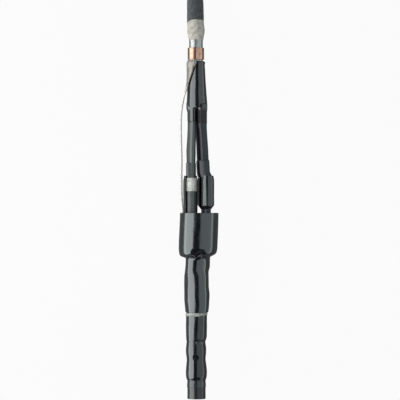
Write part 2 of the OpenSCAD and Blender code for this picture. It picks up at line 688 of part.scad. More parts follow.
upper_serving();
upper_bedding();
lead_sheath();
belt_insulation();
upper_filler();
earth_clamp();
earth_braid();
lower_earth_clamp();
upper_breakout();
upper_conductor(LEFT);  // left_upper_conductor
upper_conductor(RIGHT);  // right_upper_conductor
upper_conductor(BACK);  // back_upper_conductor
paper_insulation(LEFT);  // left_paper_insulation
paper_insulation(RIGHT);  // right_paper_insulation
paper_insulation(BACK);  // back_paper_insulation
oil_barrier(LEFT);  // left_oil_barrier
oil_barrier(RIGHT);  // right_oil_barrier
oil_barrier(BACK);  // back_oil_barrier
core_tube(LEFT);  // left_core_tube
core_tube(RIGHT);  // right_core_tube
core_tube(BACK);  // back_core_tube
ferrule(LEFT);  // left_ferrule
ferrule(RIGHT);  // right_ferrule
ferrule(BACK);  // back_ferrule
ferrule_wrap(LEFT);  // left_ferrule_wrap
ferrule_wrap(RIGHT);  // right_ferrule_wrap
ferrule_wrap(BACK);  // back_ferrule_wrap
inner_tube(LEFT, inner_down_left);  // left_inner_tube
inner_tube(RIGHT, inner_down);  // right_inner_tube
inner_tube(BACK, inner_down);  // back_inner_tube
screen_mesh(LEFT, mid_y + sleeve_up - 6 - mesh_left_len, mid_y + sleeve_up - 6);  // left_screen_mesh
screen_mesh(RIGHT, mid_y - inner_down + 2, mid_y + sleeve_up - 8);  // right_screen_mesh
screen_mesh(BACK, mid_y - inner_down + 2, mid_y + sleeve_up - 8);  // back_screen_mesh
left_sleeve_opened();
joint_sleeve(RIGHT);  // right_sleeve
joint_sleeve(BACK);  // back_sleeve
lower_conductor(LEFT);  // left_lower_conductor
lower_conductor(RIGHT);  // right_lower_conductor
lower_conductor(BACK);  // back_lower_conductor
lower_insulation(LEFT);  // left_lower_insulation
lower_insulation(RIGHT);  // right_lower_insulation
lower_insulation(BACK);  // back_lower_insulation
lower_tube(LEFT);  // left_lower_tube
lower_tube(RIGHT);  // right_lower_tube
lower_tube(BACK);  // back_lower_tube
lower_breakout();
outer_sleeve();
seal_mastic();
end_sleeve();
armour_clamp();
lower_bedding();
armour_wires();
lower_sheath();
lower_filler();
end_tape();
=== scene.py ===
# Looks of the cable joint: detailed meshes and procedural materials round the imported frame.
# Lengths in the tables are millimetres in the frame of the CAD: +Y towards the upper cable, +Z to the camera.
import bpy
import bmesh
import json
import math
import numpy as np
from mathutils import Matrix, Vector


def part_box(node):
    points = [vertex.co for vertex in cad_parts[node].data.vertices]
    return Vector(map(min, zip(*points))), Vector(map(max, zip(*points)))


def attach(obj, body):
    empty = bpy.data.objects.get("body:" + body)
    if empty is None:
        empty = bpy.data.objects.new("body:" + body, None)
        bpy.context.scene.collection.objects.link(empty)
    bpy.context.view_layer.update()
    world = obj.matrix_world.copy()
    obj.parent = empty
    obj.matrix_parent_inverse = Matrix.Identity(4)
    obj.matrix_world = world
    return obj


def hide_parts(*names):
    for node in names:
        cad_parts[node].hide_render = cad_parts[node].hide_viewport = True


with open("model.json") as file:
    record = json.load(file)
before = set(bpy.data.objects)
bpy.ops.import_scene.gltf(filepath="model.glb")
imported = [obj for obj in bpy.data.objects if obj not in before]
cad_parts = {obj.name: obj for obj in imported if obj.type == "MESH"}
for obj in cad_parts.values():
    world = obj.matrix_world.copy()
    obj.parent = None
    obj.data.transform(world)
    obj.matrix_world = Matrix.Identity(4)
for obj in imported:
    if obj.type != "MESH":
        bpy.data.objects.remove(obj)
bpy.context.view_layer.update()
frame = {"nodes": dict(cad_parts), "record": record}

MM = 0.001
TAU = 2 * math.pi
# Height of the joint's axis, and X of the middle of the upper and of the lower cable
AXIS_Z = 55.4
UP_X = -8.0
LOW_X = -6.0
# Where each core lies round the axis, in degrees from +X towards +Z
RIGHT, LEFT, BACK = 50, 170, 290
SIDES = {"left": LEFT, "right": RIGHT, "back": BACK}
ALONG = np.array([0, 1.0, 0])

# The camera looks straight down from far off; its place in X and Y is in millimetres, its distance in metres
scene = bpy.context.scene
CAM_X, CAM_Y, CAM_FAR, LENS = 4.5, -2.25, 6.0, 180.0
cam_data = bpy.data.cameras.new("camera")
cam_data.lens = LENS
cam_data.sensor_width = 36.0
cam_data.clip_end = 60.0
cam = bpy.data.objects.new("camera", cam_data)
cam.location = (CAM_X * MM, CAM_Y * MM, CAM_FAR + AXIS_Z * MM)
scene.collection.objects.link(cam)
scene.camera = cam


class Look:
    """A Principled material whose colour, roughness and bump come from nodes."""

    def __init__(self, name, base, rough=0.5, metal=0.0, spec=0.5, coat=0.0, coat_rough=0.1, sheen=0.0):
        self.m = bpy.data.materials.new(name)
        self.m.use_nodes = True
        self.t = self.m.node_tree
        self.p = self.t.nodes["Principled BSDF"]
        self.p.inputs["Base Color"].default_value = (*base, 1)
        self.p.inputs["Roughness"].default_value = rough
        self.p.inputs["Metallic"].default_value = metal
        self.p.inputs["Specular IOR Level"].default_value = spec
        self.p.inputs["Coat Weight"].default_value = coat
        self.p.inputs["Coat Roughness"].default_value = coat_rough
        self.p.inputs["Sheen Weight"].default_value = sheen
        self.at = self.node("ShaderNodeTexCoord").outputs["Object"]
        self.normal = None

    def node(self, kind, **props):
        n = self.t.nodes.new(kind)
        for k, v in props.items():
            setattr(n, k, v)
        return n

    def put(self, socket, value):
        if isinstance(value, bpy.types.NodeSocket):
            self.t.links.new(value, socket)
        else:
            socket.default_value = value

    def math(self, op, a, b=0.0, c=0.0):
        n = self.node("ShaderNodeMath", operation=op)
        for i, v in enumerate((a, b, c)):
            self.put(n.inputs[i], v)
        return n.outputs[0]

    def scaled(self, s, at=None):
        n = self.node("ShaderNodeMapping")
        self.put(n.inputs["Vector"], at or self.at)
        n.inputs["Scale"].default_value = s
        return n.outputs[0]

    def times(self, a, b):
        return self.math("MULTIPLY", a, b)

    def less(self, a, b):
        return self.math("SUBTRACT", a, b)

    def xyz(self):
        """The place on the object as three values, in metres."""
        n = self.node("ShaderNodeSeparateXYZ")
        self.put(n.inputs[0], self.at)
        return n.outputs[0], n.outputs[1], n.outputs[2]

    def round_coords(self, cx, cz, r):
        """Length round a cylinder along Y and length along it, in metres, with the seam underneath."""
        x, y, z = self.xyz()
        a = self.math("ARCTAN2", self.less(x, cx * MM), self.less(z, cz * MM))
        c = self.node("ShaderNodeCombineXYZ")
        self.put(c.inputs[0], self.times(a, r * MM))
        self.put(c.inputs[1], y)
        return c.outputs[0]

    def noise(self, scale, detail=3.0, rough=0.5, stretch=(1, 1, 1), at=None, distort=0.0):
        n = self.node("ShaderNodeTexNoise")
        self.put(n.inputs["Vector"], self.scaled(stretch, at))
        n.inputs["Scale"].default_value = scale
        n.inputs["Detail"].default_value = detail
        n.inputs["Roughness"].default_value = rough
        n.inputs["Distortion"].default_value = distort
        return n.outputs["Fac"]

    def cells(self, scale, stretch=(1, 1, 1), at=None):
        n = self.node("ShaderNodeTexVoronoi")
        self.put(n.inputs["Vector"], self.scaled(stretch, at))
        n.inputs["Scale"].default_value = scale
        return n.outputs["Distance"]

    def waves(self, pitch, axis, at=None, distort=0.0, profile="SIN"):
        """Bands of that pitch in millimetres across X, Y or Z of the coordinates."""
        n = self.node("ShaderNodeTexWave", wave_type="BANDS", bands_direction=axis, wave_profile=profile)
        self.put(n.inputs["Vector"], at or self.at)
        n.inputs["Scale"].default_value = TAU / (pitch * MM) / 20.0
        n.inputs["Distortion"].default_value = distort
        n.inputs["Detail Scale"].default_value = 2.0
        return n.outputs["Fac"]

    def ramp(self, fac, lo, hi, a=0.0, b=1.0):
        n = self.node("ShaderNodeMapRange")
        self.put(n.inputs["Value"], fac)
        n.inputs["From Min"].default_value = lo
        n.inputs["From Max"].default_value = hi
        n.inputs["To Min"].default_value = a
        n.inputs["To Max"].default_value = b
        return n.outputs["Result"]

    def mix(self, fac, a, b):
        n = self.node("ShaderNodeMix", data_type="RGBA")
        self.put(n.inputs[0], fac)
        for i, v in ((6, a), (7, b)):
            self.put(n.inputs[i], (*v, 1) if isinstance(v, tuple) else v)
        return n.outputs[2]

    def colour(self, socket):
        self.put(self.p.inputs["Base Color"], socket)
        return self

    def rough(self, socket):
        self.put(self.p.inputs["Roughness"], socket)
        return self

    def rough_spots(self, scale, detail, rough, lo, hi):
        """Roughness from lo to hi in spots."""
        return self.rough(self.ramp(self.noise(scale, detail, rough), 0.3, 0.7, lo, hi))

    def duller(self, spec, share):
        """Specular strength spec, less that share of it."""
        self.put(self.p.inputs["Specular IOR Level"], self.less(spec, self.times(share, spec)))

    def bump(self, height, depth, strength=1.0):
        """Bump of that depth in millimetres, on top of any before it."""
        n = self.node("ShaderNodeBump")
        n.inputs["Strength"].default_value = strength
        n.inputs["Distance"].default_value = depth * MM
        self.put(n.inputs["Height"], height)
        if self.normal:
            self.put(n.inputs["Normal"], self.normal)
        self.normal = n.outputs["Normal"]
        self.put(self.p.inputs["Normal"], self.normal)
        return self


def gloss_black(name, base=(0.0026, 0.003, 0.0036), rough=0.2, spec=0.85, peel=0.02):
    k = Look(name, base, rough, spec=spec)
    k.p.inputs["Specular Tint"].default_value = (0.93, 1.0, 1.01, 1)
    dust = k.ramp(k.noise(70, 6, 0.65), 0.52, 0.78)
    k.colour(k.mix(k.times(dust, 0.3), base, (0.022, 0.023, 0.023)))
    k.rough(k.ramp(k.noise(60, 5, 0.6, (1, 0.25, 1)), 0.45, 0.75, rough - 0.03, rough + 0.14))
    k.bump(k.noise(160, 2, 0.5), peel)
    k.bump(k.noise(900, 2, 0.5, (1, 0.3, 1)), 0.006)
    return k


def satin_black(name, base, rough=0.36, lines=0.03, spec=0.5, base_tone=None, left_dull=0.72):
    k = Look(name, base, rough, spec=spec, coat=0.15, coat_rough=0.25)
    smear = k.ramp(k.noise(45, 5, 0.6, (1, 0.2, 1)), 0.35, 0.7)
    chalk_and_painted_light = k.mix(smear, base, tuple(min(1, c * 1.7 + 0.004) for c in base))
    wear_and_shade_rough = k.ramp(k.noise(90, 4, 0.6, (1, 0.3, 1)), 0.3, 0.7, rough - 0.05, rough + 0.12)
    if base_tone:
        # painted shade: the core on the right gets a darker colour and duller gloss, in place of the shade the
        # left lamp leaves there
        x, _, z = k.xyz()
        over = k.ramp(z, 0.048, 0.056)
        side = k.times(k.ramp(x, -0.0075, -0.0015), over)
        chalk_and_painted_light = k.mix(side, chalk_and_painted_light, k.mix(smear, base_tone, tuple(c * 1.6 for c in base_tone)))
        # painted light: below 48 mm, where the core at the back lies in shade, the colour is made lighter as if
        # lit
        chalk_and_painted_light = k.mix(k.less(1.0, over), chalk_and_painted_light, (0.105, 0.09, 0.105))
        wear_and_shade_rough = k.math("ADD", wear_and_shade_rough, k.times(side, 0.16))
        # painted shade: the left core gets a darker colour and duller gloss on its outer side
        shaded_left = k.ramp(x, -0.0245, -0.0268)
        chalk_and_painted_light = k.mix(shaded_left, chalk_and_painted_light, tuple(c * 0.8 for c in base))
        k.duller(spec, k.math("MAXIMUM", k.times(side, 0.42), k.times(shaded_left, left_dull)))
    k.colour(chalk_and_painted_light)
    k.rough(wear_and_shade_rough)
    k.bump(k.noise(420, 3, 0.5, (1, 0.04, 1)), lines)
    k.bump(k.noise(1500, 2, 0.5), 0.006)
    return k


def make_looks():
    looks = {}
    looks["outer_sleeve"] = gloss_black("sleeve_gloss", rough=0.19, spec=1.0)
    k = gloss_black("moulding_gloss", rough=0.2, peel=0.014)
    # painted shade: the fingers lose most of their gloss and turn matte grey on the right and on the outer left,
    # and the right finger's left flank loses more, so these show no highlight, as if in shade
    x, y, _ = k.xyz()
    outer = k.math("MAXIMUM", k.ramp(x, -0.004, 0.0), k.ramp(x, -0.0235, -0.026))
    dull = k.times(outer, k.ramp(y, 0.272, 0.264))
    seam = k.times(dull, k.times(k.ramp(x, -0.005, -0.002), k.ramp(x, 0.006, 0.003)))
    shine = k.less(k.less(0.85, k.times(dull, 0.6)), k.times(seam, 0.22))
    k.put(k.p.inputs["Specular IOR Level"], shine)
    k.colour(k.mix(dull, (0.0026, 0.003, 0.0036), (0.02, 0.018, 0.019)))
    k.rough(k.ramp(dull, 0.0, 1.0, 0.2, 0.5))
    looks["moulding"] = k
    looks["sleeve"] = gloss_black("joint_sleeve_gloss", (0.009, 0.0095, 0.011), 0.2, 0.75)
    looks["tape"] = gloss_black("tape_gloss", (0.012, 0.013, 0.014), 0.25, 0.75)
    # the second colour of each tube is painted shade for the core on the right
    looks["core_tube"] = satin_black("core_tube_satin", (0.036, 0.042, 0.042), 0.32,
                                     base_tone=(0.013, 0.016, 0.021))
    looks["inner_tube"] = satin_black("inner_tube_satin", (0.047, 0.052, 0.052), 0.34, 0.05,
                                      base_tone=(0.017, 0.02, 0.024), left_dull=0.1)
    looks["sheath"] = satin_black("sheath_satin", (0.0075, 0.0085, 0.01), 0.22, 0.02, 0.6)
    # painted shade: below the neck, the right side of the sheath and of the end sleeve gets duller gloss
    for k, spec, top in ((looks["sheath"], 0.6, 1.0), (looks["outer_sleeve"], 1.0, -0.345)):
        x, y, _ = k.xyz()
        k.duller(spec, k.times(k.times(k.ramp(x, -0.008, -0.003), k.ramp(y, top, top - 0.01)), 0.32))

    k = Look("serving_fibre", (0.03, 0.033, 0.035), 0.78, sheen=0.25)
    at = k.round_coords(UP_X, AXIS_Z, 24.6)
    fibre = k.noise(260, 6, 0.7, (1, 0.35, 1), at, 0.6)
    wrap = k.waves(9.0, "Y", at, 1.2)
    k.colour(k.mix(k.ramp(fibre, 0.35, 0.68), (0.016, 0.018, 0.02), (0.062, 0.068, 0.072)))
    k.rough(k.ramp(fibre, 0.3, 0.7, 0.88, 0.66))
    k.bump(fibre, 0.5).bump(wrap, 0.12).bump(k.cells(1100, (1, 0.3, 1), at), 0.25)
    looks["serving"] = k

    k = Look("bedding_cloth", (0.46, 0.44, 0.38), 0.82, sheen=0.2)
    at = k.round_coords(UP_X, AXIS_Z, 23.0)
    weave = k.times(k.waves(0.9, "X", at), k.waves(0.9, "Y", at))
    stain = k.ramp(k.noise(85, 6, 0.65, at=at), 0.38, 0.68)
    spots = k.ramp(k.noise(210, 4, 0.6, at=at), 0.6, 0.72)
    base_tone = k.mix(stain, (0.48, 0.465, 0.42), (0.25, 0.232, 0.185))
    k.colour(k.mix(k.times(spots, 0.6), base_tone, (0.12, 0.11, 0.085)))
    k.bump(weave, 0.16).bump(k.noise(120, 5, 0.6, at=at), 0.45)
    looks["bedding"] = k

    k = Look("lead_scraped", (0.33, 0.34, 0.34), 0.34, metal=0.9)
    at = k.round_coords(UP_X, AXIS_Z, 20.4)
    scrape = k.noise(240, 5, 0.6, (0.15, 1, 1), at)
    k.colour(k.mix(k.ramp(k.noise(60, 5, 0.6, at=at), 0.35, 0.7), (0.37, 0.38, 0.375), (0.22, 0.228, 0.225)))
    k.rough(k.ramp(scrape, 0.3, 0.7, 0.28, 0.46))
    k.bump(scrape, 0.03).bump(k.noise(55, 2, 0.5, at=at), 0.1)
    looks["lead"] = k

    k = Look("copper_strip", (0.83, 0.46, 0.3), 0.2, metal=1.0)
    at = k.round_coords(UP_X, AXIS_Z, 24.4)
    k.colour(k.mix(k.ramp(k.noise(75, 5, 0.6, at=at), 0.42, 0.75), (0.445, 0.285, 0.222), (0.29, 0.16, 0.11)))
    roll = k.noise(900, 3, 0.5, (0.03, 1, 1), at)
    k.rough(k.ramp(roll, 0.3, 0.7, 0.24, 0.38))
    k.bump(roll, 0.01)
    looks["copper"] = k

    k = Look("braid_tinned", (0.4, 0.38, 0.35), 0.5, metal=0.35)
    # tarnished in streaks where it is spread out; besides, as painted light and shade, the spread part is darker
    # and the part that hangs free much lighter
    tarnish = k.ramp(k.noise(300, 4, 0.6), 0.35, 0.7)
    streak = k.ramp(k.noise(190, 3, 0.5, (1, 0.09, 1)), 0.54, 0.64)
    spread = k.mix(streak, k.mix(tarnish, (0.36, 0.34, 0.315), (0.24, 0.215, 0.19)), (0.1, 0.075, 0.06))
    free = k.mix(tarnish, (0.78, 0.76, 0.73), (0.56, 0.53, 0.49))
    k.colour(k.mix(k.ramp(k.xyz()[1], 0.345, 0.31), spread, free))
    k.rough_spots(600, 3, 0.5, 0.42, 0.6)
    k.bump(k.noise(5200, 2, 0.5), 0.03)
    looks["braid"] = k

    k = Look("mesh_aluminium", (0.6, 0.61, 0.6), 0.42, metal=0.3)
    k.colour(k.mix(k.ramp(k.noise(120, 4, 0.6), 0.35, 0.7), (0.77, 0.77, 0.75), (0.62, 0.61, 0.56)))
    k.rough_spots(500, 3, 0.5, 0.36, 0.52)
    k.bump(k.noise(2600, 2, 0.5), 0.03)
    looks["mesh"] = k

    k = Look("mastic_putty", (0.42, 0.41, 0.35), 0.5, coat=0.2, coat_rough=0.3)
    k.colour(k.mix(k.ramp(k.noise(140, 5, 0.6), 0.35, 0.7), (0.33, 0.345, 0.31), (0.13, 0.135, 0.12)))
    k.rough_spots(200, 4, 0.6, 0.36, 0.6)
    k.bump(k.noise(170, 4, 0.55), 0.6)
    looks["mastic"] = k

    k = Look("paper_oiled", (0.4, 0.24, 0.09), 0.5, coat=0.15, coat_rough=0.3)
    k.colour(k.mix(k.noise(140, 5, 0.6), (0.5, 0.32, 0.13), (0.28, 0.15, 0.05)))
    k.bump(k.waves(0.6, "X", distort=0.4), 0.08).bump(k.noise(900, 3, 0.6), 0.08)
    k.rough_spots(260, 3, 0.5, 0.4, 0.62)
    looks["paper"] = k

    k = Look("conductor_aluminium", (0.68, 0.69, 0.7), 0.3, metal=1.0)
    k.colour(k.mix(k.noise(400, 4, 0.6), (0.76, 0.77, 0.78), (0.5, 0.51, 0.52)))
    k.rough_spots(1500, 3, 0.5, 0.2, 0.45)
    k.bump(k.noise(2500, 3, 0.5, (1, 0.1, 1)), 0.02)
    looks["conductor"] = k
    looks["ferrule"] = k

    k = Look("barrier_film", (0.6, 0.52, 0.33), 0.34, coat=0.2, coat_rough=0.2)
    k.colour(k.mix(k.noise(90, 4, 0.6), (0.66, 0.58, 0.38), (0.5, 0.42, 0.24)))
    k.bump(k.noise(300, 3, 0.5, (1, 0.1, 1)), 0.04)
    k.rough_spots(200, 3, 0.5, 0.28, 0.42)
    looks["barrier"] = k

    k = Look("wrap_yellow", (0.6, 0.42, 0.06), 0.55)
    k.colour(k.mix(k.noise(110, 5, 0.6), (0.66, 0.48, 0.08), (0.45, 0.3, 0.05)))
    k.bump(k.waves(8.0, "Y", distort=0.5, profile="SAW"), 0.3).bump(k.noise(700, 3, 0.6), 0.08)
    k.rough_spots(260, 3, 0.5, 0.45, 0.65)
    looks["wrap"] = k

    k = Look("insulation_white", (0.76, 0.74, 0.66), 0.36, spec=0.5)
    k.colour(k.mix(k.noise(60, 5, 0.6), (0.8, 0.78, 0.71), (0.68, 0.65, 0.56)))
    k.bump(k.noise(500, 3, 0.5, (1, 0.06, 1)), 0.03).bump(k.noise(1800, 3, 0.6), 0.02)
    k.rough_spots(300, 3, 0.5, 0.3, 0.46)
    looks["insulation"] = k

    k = Look("armour_steel", (0.5, 0.51, 0.52), 0.32, metal=1.0)
    k.colour(k.mix(k.noise(260, 5, 0.65), (0.62, 0.63, 0.64), (0.33, 0.33, 0.32)))
    k.bump(k.noise(2400, 3, 0.5, (1, 0.1, 1)), 0.02)
    k.rough_spots(900, 4, 0.6, 0.24, 0.5)
    looks["armour"] = k

    k = Look("filler_strings", (0.09, 0.095, 0.095), 0.7)
    k.colour(k.mix(k.noise(400, 4, 0.6), (0.13, 0.135, 0.13), (0.045, 0.047, 0.047)))
    k.bump(k.cells(900, (1, 0.1, 1)), 0.3)
    k.rough_spots(500, 3, 0.5, 0.6, 0.8)
    looks["filler"] = k
    return looks


LOOKS = make_looks()
SLOT_OF = {s["node"]: s["material_slot"] for s in frame["record"]["subparts"]}
for node_name, node_obj in frame["nodes"].items():
    node_obj.data.materials.clear()
    node_obj.data.materials.append(LOOKS[SLOT_OF[node_name]].m)


def table_at(table, y, soft):
    """Columns of a table (first column Y, falling) at y, averaged over a stretch of 2 * soft."""
    t = np.array(table, float)[::-1]
    y = np.atleast_1d(np.asarray(y, float))
    off = np.linspace(-soft, soft, 9)
    wgt = np.cos(off / soft * math.pi / 2) ** 2 + 1e-6
    wgt = wgt / wgt.sum()
    return [sum(w * np.interp(y + o, t[:, 0], column) for o, w in zip(off, wgt)) for column in t.T[1:]]


def around(m):
    """The angles of a ring of m points."""
    return np.linspace(0, TAU, m, endpoint=False)


def off_angle(th, deg):
    """Degrees from the angle deg to th, between -180 and 180."""
    return (np.degrees(th) - deg + 180) % 360 - 180


def ripple(th, y, seed, size, turns=(2, 3, 5), pitch=60.0):
    """A smooth unevenness round and along a tube, in millimetres."""
    rnd = np.random.default_rng(seed)
    out = 0.0
    for n in turns:
        for _ in range(2):
            out = out + np.sin(n * th + TAU * y / (pitch * rnd.uniform(0.6, 1.7)) * rnd.choice([-1, 1])
                               + rnd.uniform(0, TAU)) / n ** 0.5
    return size * out / (2 * len(turns)) ** 0.5


def smooth_step(x, a, b):
    t = np.clip((np.asarray(x, float) - a) / (b - a), 0, 1)
    return t * t * (3 - 2 * t)


def build(name, verts, faces, slot, replaces):
    """A piece of the looks from points in millimetres, in place of those nodes."""
    mesh = bpy.data.meshes.new(name)
    mesh.from_pydata((np.asarray(verts, float) * MM).tolist(), [], faces)
    bm = bmesh.new()
    bm.from_mesh(mesh)
    bmesh.ops.recalc_face_normals(bm, faces=bm.faces)
    bm.to_mesh(mesh)
    bm.free()
    mesh.polygons.foreach_set("use_smooth", [True] * len(mesh.polygons))
    mesh.materials.append(LOOKS[slot].m)
    obj = bpy.data.objects.new(name, mesh)
    scene.collection.objects.link(obj)
    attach(obj, "root")
    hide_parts(*replaces)
    return obj


def loft(rows, loop=False, caps=False):
    """Points and faces of a skin through closed rings of equal count."""
    rows = np.asarray(rows, float)
    n, m, _ = rows.shape
    ids = np.arange(n * m).reshape(n, m)
    a, b = (ids, np.roll(ids, -1, 0)) if loop else (ids[:-1], ids[1:])
    quads = np.stack([a, np.roll(a, -1, 1), np.roll(b, -1, 1), b], -1).reshape(-1, 4)
    faces = quads.tolist()
    if caps:
        faces += [ids[0][::-1].tolist(), ids[-1].tolist()]
    return rows.reshape(-1, 3), faces


def lip_rings(a, b, way, lip, count, square=0.55):
    """The rings of a rounded edge from ring a to ring b, which stands out by lip along Y."""
    rows = []
    for p in np.linspace(0, math.pi, count + 2)[1:-1]:
        c = math.copysign(abs(math.cos(p)) ** square, math.cos(p))
        mid = a * (1 + c) / 2 + b * (1 - c) / 2
        mid[:, 1:2] += way * lip * math.sin(p) ** square
        rows.append(mid)
    return rows


def shell(name, outer, inner, n, m, slot, replaces, lip, n_in):
    """A tube with a wall: outer and inner give x, y, z for angles and a share 0 to 1 of the length."""
    th = around(m)

    def ring(f, t):
        return np.stack([v * np.ones(m) for v in f(th, t)], -1)

    def rim(t, way):
        edge = ring(outer, t)
        sgn = np.sign(edge[:, 1:2] - ring(outer, t - way * 0.02)[:, 1:2])
        return lip_rings(edge, ring(inner, t), sgn, lip, 5)
    rows = [ring(outer, t) for t in np.linspace(0, 1, n)] + rim(1.0, 1)
    rows += [ring(inner, t) for t in np.linspace(1, 0, n_in)] + rim(0.0, -1)[::-1]
    v, f = loft(rows, loop=True)
    return build(name, v, f, slot, replaces)


def sweep_rows(path, radius, m):
    """Rings square to a path; radius(th, i) gives their radii."""
    path = np.asarray(path, float)
    tan = np.gradient(path, axis=0)
    tan /= np.linalg.norm(tan, axis=1)[:, None]
    th = around(m)
    rows = []
    for i, (c, t) in enumerate(zip(path, tan)):
        u = np.array([1.0, 0, 0]) - t[0] * t
        u /= np.linalg.norm(u)
        w = np.cross(u, t)
        r = radius(th, i)
        rows.append(c + (r * np.cos(th))[:, None] * u + (r * np.sin(th))[:, None] * w)
    return rows


def join(parts):
    """Joins (points, faces) lists into one."""
    verts, faces, at = [], [], 0
    for v, f in parts:
        verts.append(np.asarray(v, float))
        faces += [[i + at for i in q] for q in f]
        at += len(v)
    return np.concatenate(verts), faces


# The cores' way through the joint: Y, middle of the three, their distance from it
WAY = [(598, UP_X, 8.89), (340, UP_X, 8.89), (286, -0.6, 19.4), (214, -0.6, 19.4), (150, 0.9, 23.5),
       (80, 2.8, 25.6), (60, 7.8, 29.9), (-100, 7.8, 29.9), (-172, LOW_X, 17.0), (-228, LOW_X, 17.0),
       (-294, LOW_X, 10.74), (-598, LOW_X, 10.74)]

# How far each core is from round: size and direction of the long way, size and direction of the corners
SECTION = {"left": (3.0, 54, 0.8, 67), "right": (0.3, 120, 0.75, 124), "back": (2.0, 0, 0.2, 124)}


def section(side, th):
    two, two_at, four, four_at = SECTION[side]
    return two * np.cos(2 * (th - math.radians(two_at))) + four * np.cos(4 * (th - math.radians(four_at)))


def core_at(angle, y, soft=7.0):
    a = math.radians(angle)
    x, rp = table_at(WAY, y, soft)
    return np.stack([x + rp * math.cos(a), np.atleast_1d(y), AXIS_Z + rp * math.sin(a)], -1)


def core_shell(name, angle, y0, y1, ro, ri, slot, replaces, step, m, uneven, lip=0.4):
    """A tube on one core with a wall, from y0 to y1."""
    ys = np.linspace(y0, y1, int(abs(y1 - y0) / step))
    out = sweep_rows(core_at(angle, ys), lambda th, i: ro + uneven(th, ys[i]), m)
    inn = sweep_rows(core_at(angle, np.linspace(y1, y0, 10)), lambda th, i: ri * np.ones_like(th), m)
    way = math.copysign(1, y1 - y0)
    rows = out + lip_rings(out[-1], inn[0], way, lip, 3) + inn + lip_rings(inn[-1], out[0], -way, lip, 3)
    v, f = loft(rows, loop=True)
    return build(name, v, f, slot, replaces)


def wear(seed, count=14, low=3, high=30):
    """A rough line round a tube, in shares of 1: the torn or cut edge of a layer."""
    rnd = np.random.default_rng(seed)
    terms = [(int(n), rnd.uniform(0, TAU), 1 / n ** 0.6) for n in rnd.integers(low, high, count)]
    total = sum(w for _, _, w in terms) * 0.45
    return lambda th: sum(w * np.sin(n * th + p) for n, p, w in terms) / total


def turned_skin(name, table, y0, end, ri, in_x, slot, replaces, n, m, soft, extra, lip):
    """A tube whose outside follows a table of left and right edges from y0 to the line end(th)."""
    def place(th, t):
        return y0 + t * (end(th) - y0)

    def outer(th, t):
        y = place(th, t)
        xl, xr = table_at(table, y, soft)
        r = (xr - xl) / 2 + extra(th, y)
        return (xl + xr) / 2 + r * np.cos(th), y, AXIS_Z + r * np.sin(th)

    def inner(th, t):
        return in_x + ri * np.cos(th), place(th, t), AXIS_Z + ri * np.sin(th)
    return shell(name, outer, inner, n, m, slot, replaces, lip, 12)


def line_at(value):
    return lambda th: value + 0.0 * th


# The upper cable's layers: Y, left edge, right edge
SERVING = [(598, -33.9, 13.6), (588, -34.4, 14.8), (560, -34.1, 15.3), (530, -34.2, 15.9)]
BED = [(598, -30.7, 13.7), (541, -30.7, 13.7), (537, -32.6, 15.2), (524, -33.4, 16.4), (515, -33.2, 16.8),
       (507, -33.6, 18.5), (498, -33.2, 17.6), (488, -30.9, 15.6), (479, -28.7, 13.7), (470, -28.3, 13.2)]
LEAD = [(598, -28.1, 12.9), (340, -28.1, 12.9)]

serving_tear = wear(3)


def serving_edge(th):
    y = np.interp(np.degrees(th) % 360, [0, 40, 90, 125, 160, 180, 230, 300, 360],
                  [534, 537, 538.6, 536.5, 530.5, 529, 532, 535, 534])
    return y + 1.1 * serving_tear(th)


def serving_rough(th, y):
    yarn = np.abs(np.sin(math.pi * (y + 11 * th / TAU) / 3.1)) ** 0.6
    strand = np.sin(70 * th + 0.8 * y + 2 * np.sin(0.21 * y)) * np.sin(31 * th - 0.5 * y)
    return 0.34 * yarn + 0.16 * strand + ripple(th, y, 21, 0.3, (2, 3, 5), 40)


turned_skin("serving_cover", SERVING, 597.4, serving_edge, 22.9, -8.4, "serving", ["upper_serving"],
            140, 180, 3.0, serving_rough, 0.5)

bed_cut = wear(8, 10, 2, 18)


def bed_laps(th, y):
    # the cloth is wound on in laps of 17 mm, each with a raised edge
    lap = (y + 17 * th / TAU) / 17.0
    part = lap - np.floor(lap)
    fold = smooth_step(part, 0.0, 0.06) * (1 - 0.75 * smooth_step(part, 0.06, 1.0))
    fine = 0.16 * np.sin(17 * th + 0.5 * y) * np.sin(0.33 * y + 3 * th)
    return (0.75 * fold + (ripple(th, y, 31, 0.35, (3, 5, 8), 26) + fine)) * (1 - 0.9 * smooth_step(y, 536, 542))


turned_skin("bedding_cloth_wrap", BED, 597.6, lambda th: 478.4 + 0.9 * bed_cut(th), 20.9, -7.7, "bedding",
            ["upper_bedding"], 190, 168, 2.0, bed_laps, 0.35)


def lead_dents(th, y):
    # angle, Y, depth, half width in degrees, half length
    dents = ((62, 468, 0.32, 14, 6), (104, 462, 0.22, 12, 5), (128, 471, 0.25, 10, 4), (78, 458, 0.2, 9, 3))
    dent = sum(d * np.exp(-(off_angle(th, a) / w) ** 2 - ((y - p) / v) ** 2) for a, p, d, w, v in dents)
    return ripple(th, y, 41, 0.11, (2, 3, 5), 30) - dent


turned_skin("lead_sheath_skin", LEAD, 597.7, line_at(351.0), 18.35, -7.9, "lead", ["lead_sheath"],
            120, 120, 3.0, lead_dents, 0.3)


